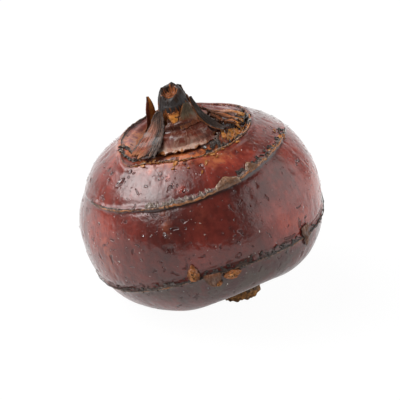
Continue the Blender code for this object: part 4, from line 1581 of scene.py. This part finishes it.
placed = [dropPlacing(*values) for values in drops["placed"]]
dropPiece = makeDrops("waterDrops", 8, 5, [*placed, *scatteredDrops(drops["seed"], *drops["drops"])])
dropMaterial, tree, shader = newMaterial("water", {
    "Base Color": (0.9, 0.88, 0.88, 1.0), "Roughness": 0.02, "IOR": 1.33, "Transmission Weight": 1.0,
})
plug(tree, shader, {"Normal": bumped(tree, noise(tree, cormVector(tree), 3.0, 2.0), 0.2, 0.00005)})
finishPiece(dropPiece, dropMaterial, "skin")
print("drops made")

# Specks of water too small to see into, whose pale colour is a painted highlight standing for the light they
# catch
glintSpeckPiece = makeDrops("paintedGlintSpecks", 7, 4, scatteredDrops(drops["seed"] + 1, *drops["specks"]))
glintSpeckMaterial, tree, shader = newMaterial("paintedGlintSpeck", {
    "Roughness": 0.2, "Coat Weight": 1.0, "Coat Roughness": 0.05,
})
# the pale colour is a painted highlight
glintSpeckShade = span(tree, noise(tree, cormVector(tree), 1.2, 2.0), 0.4, 0.6)
plug(tree, shader, {"Base Color": mixColour(tree, glintSpeckShade, (0.3, 0.15, 0.12), (0.62, 0.54, 0.48))})
finishPiece(glintSpeckPiece, glintSpeckMaterial, "skin")
print("wet specks made")

# Floor, light and camera
studio = {
    "floorFront": -0.131,  # the floor ends here, so that the skin's reflection of it ends too
    "floorBack": 0.6,
    "floorSide": 0.8,
    "floorColour": (0.84, 0.84, 0.84),
    "floorWhite": 0.94,  # share of plain white that the camera sees on the floor
    "floorEven": 0.3,  # and that the corm sees
    "softbox": {"azimuth": 178, "half": 47, "soft": 14, "low": 21, "high": 76, "level": 2.9},
    "core": {"azimuth": 178, "spread": 24, "elevation": 39, "rise": 16, "level": 6.0},  # its bright middle
    "rightWall": {"azimuth": -5, "half": 38, "soft": 24, "low": -3, "high": 58, "level": 1.62},
    "backWall": {"azimuth": 95, "half": 42, "soft": 20, "low": -10, "high": 50, "level": 0.85},
    "fill": 0.1,
    "panelFoot": (-4, 6),  # degrees from a panel's low edge, over which it fades in
    "panelTop": (-8, 4),
}
floor = newForm(bpy.ops.mesh.primitive_plane_add, "floor", size=2)
corners = readPoints(floor.data)
corners[:, 0] *= studio["floorSide"]
corners[:, 1] = np.where(corners[:, 1] > 0, studio["floorBack"], studio["floorFront"])
writePoints(floor.data, corners)
floorMaterial = bpy.data.materials.new("paleFloor")
floorMaterial.use_nodes = True
tree = floorMaterial.node_tree
tree.nodes.remove(tree.nodes["Principled BSDF"])
plainFloor = put(tree, "BsdfDiffuse", {"Color": rgba(studio["floorColour"])}).outputs[0]
whiteFloor = put(tree, "Emission", {"Color": (1, 1, 1, 1), "Strength": 1.02}).outputs[0]
seen = put(tree, "LightPath").outputs["Is Camera Ray"]
seen = span(tree, seen, 0.0, 1.0, studio["floorEven"], studio["floorWhite"])
floorMix = put(tree, "MixShader", {0: seen, 1: plainFloor, 2: whiteFloor}).outputs[0]
plug(tree, tree.nodes["Material Output"], {"Surface": floorMix})
floor.data.materials.append(floorMaterial)

world = bpy.data.worlds.new("studioLight")
bpy.context.scene.world = world
world.use_nodes = True
tree = world.node_tree
x, y, z = put(tree, "SeparateXYZ", {0: put(tree, "TexCoord").outputs["Generated"]}).outputs
azimuth = calc(tree, "MULTIPLY", calc(tree, "ARCTAN2", y, x), 180 / math.pi)
elevation = calc(tree, "MULTIPLY", calc(tree, "ARCSINE", z), 180 / math.pi)


def panelTurn(panel):  # degrees from the panel's middle, -180 to 180
    turn = calc(tree, "SUBTRACT", azimuth, panel["azimuth"])
    return put(tree, "Math", {0: turn, 1: -180.0, 2: 180.0}, operation="WRAP").outputs[0]


def lightPanel(panel):
    half, soft, low, high = panel["half"], panel["soft"], panel["low"], panel["high"]
    turn = calc(tree, "ABSOLUTE", panelTurn(panel))
    return calc(
        tree, "MULTIPLY",
        span(tree, turn, half - soft / 2, half + soft / 2, 1.0, 0.0),
        span(tree, elevation, *(low + step for step in studio["panelFoot"])),
        span(tree, elevation, *(high + step for step in studio["panelTop"]), 1.0, 0.0),
        panel["level"],
    )


def lightCore(core):
    turn = calc(tree, "DIVIDE", panelTurn(core), core["spread"])
    rise = calc(tree, "DIVIDE", calc(tree, "SUBTRACT", elevation, core["elevation"]), core["rise"])
    away = calc(tree, "ADD", calc(tree, "MULTIPLY", turn, turn), calc(tree, "MULTIPLY", rise, rise))
    return calc(tree, "MULTIPLY", calc(tree, "EXPONENT", calc(tree, "MULTIPLY", away, -1.0)), core["level"])


panels = [lightPanel(studio[name]) for name in ("softbox", "rightWall", "backWall")]
light = calc(tree, "ADD", studio["fill"], *panels, lightCore(studio["core"]))
lit = put(tree, "Background", {"Color": (1, 1, 1, 1), "Strength": light}).outputs[0]
white = put(tree, "Background", {"Color": (1, 1, 1, 1), "Strength": 1.0}).outputs[0]
seen = put(tree, "LightPath").outputs["Is Camera Ray"]
backdrop = put(tree, "MixShader", {0: seen, 1: lit, 2: white}).outputs[0]
output = [node for node in tree.nodes if node.type == "OUTPUT_WORLD"][0]
plug(tree, output, {"Surface": backdrop})

cameraView = {
    "elevation": 26,
    "lens": 160.1,
    "distance": 300,  # mm
    "pixelsPerMm": 5.93,
    "centrePixel": (200.1, 204.9),  # where the middle of the body falls in the 400 by 400 picture
    "middlePixel": 200,
    "sensor": 36,
    "nearest": 0.01,  # metres
}
tilt = math.radians(cameraView["elevation"])
forward = Vector((0, math.cos(tilt), -math.sin(tilt)))
upward = Vector((0, math.sin(tilt), math.cos(tilt)))
aim = Vector(corm["centre"])
pixelX, pixelY = (pixel - cameraView["middlePixel"] for pixel in cameraView["centrePixel"])
aim += (upward * pixelY - Vector((1, 0, 0)) * pixelX) / cameraView["pixelsPerMm"]
cameraData = bpy.data.cameras.new("camera")
cameraData.lens = cameraView["lens"]
cameraData.sensor_width = cameraView["sensor"]
camera = bpy.data.objects.new("camera", cameraData)
bpy.context.scene.collection.objects.link(camera)
camera.location = (aim - forward * cameraView["distance"]) * 0.001
camera.rotation_euler = (math.pi / 2 - tilt, 0, 0)
cameraData.clip_start = cameraView["nearest"]
bpy.context.scene.camera = camera
bpy.context.scene.view_settings.view_transform = "Standard"
print("stage, light and camera made")
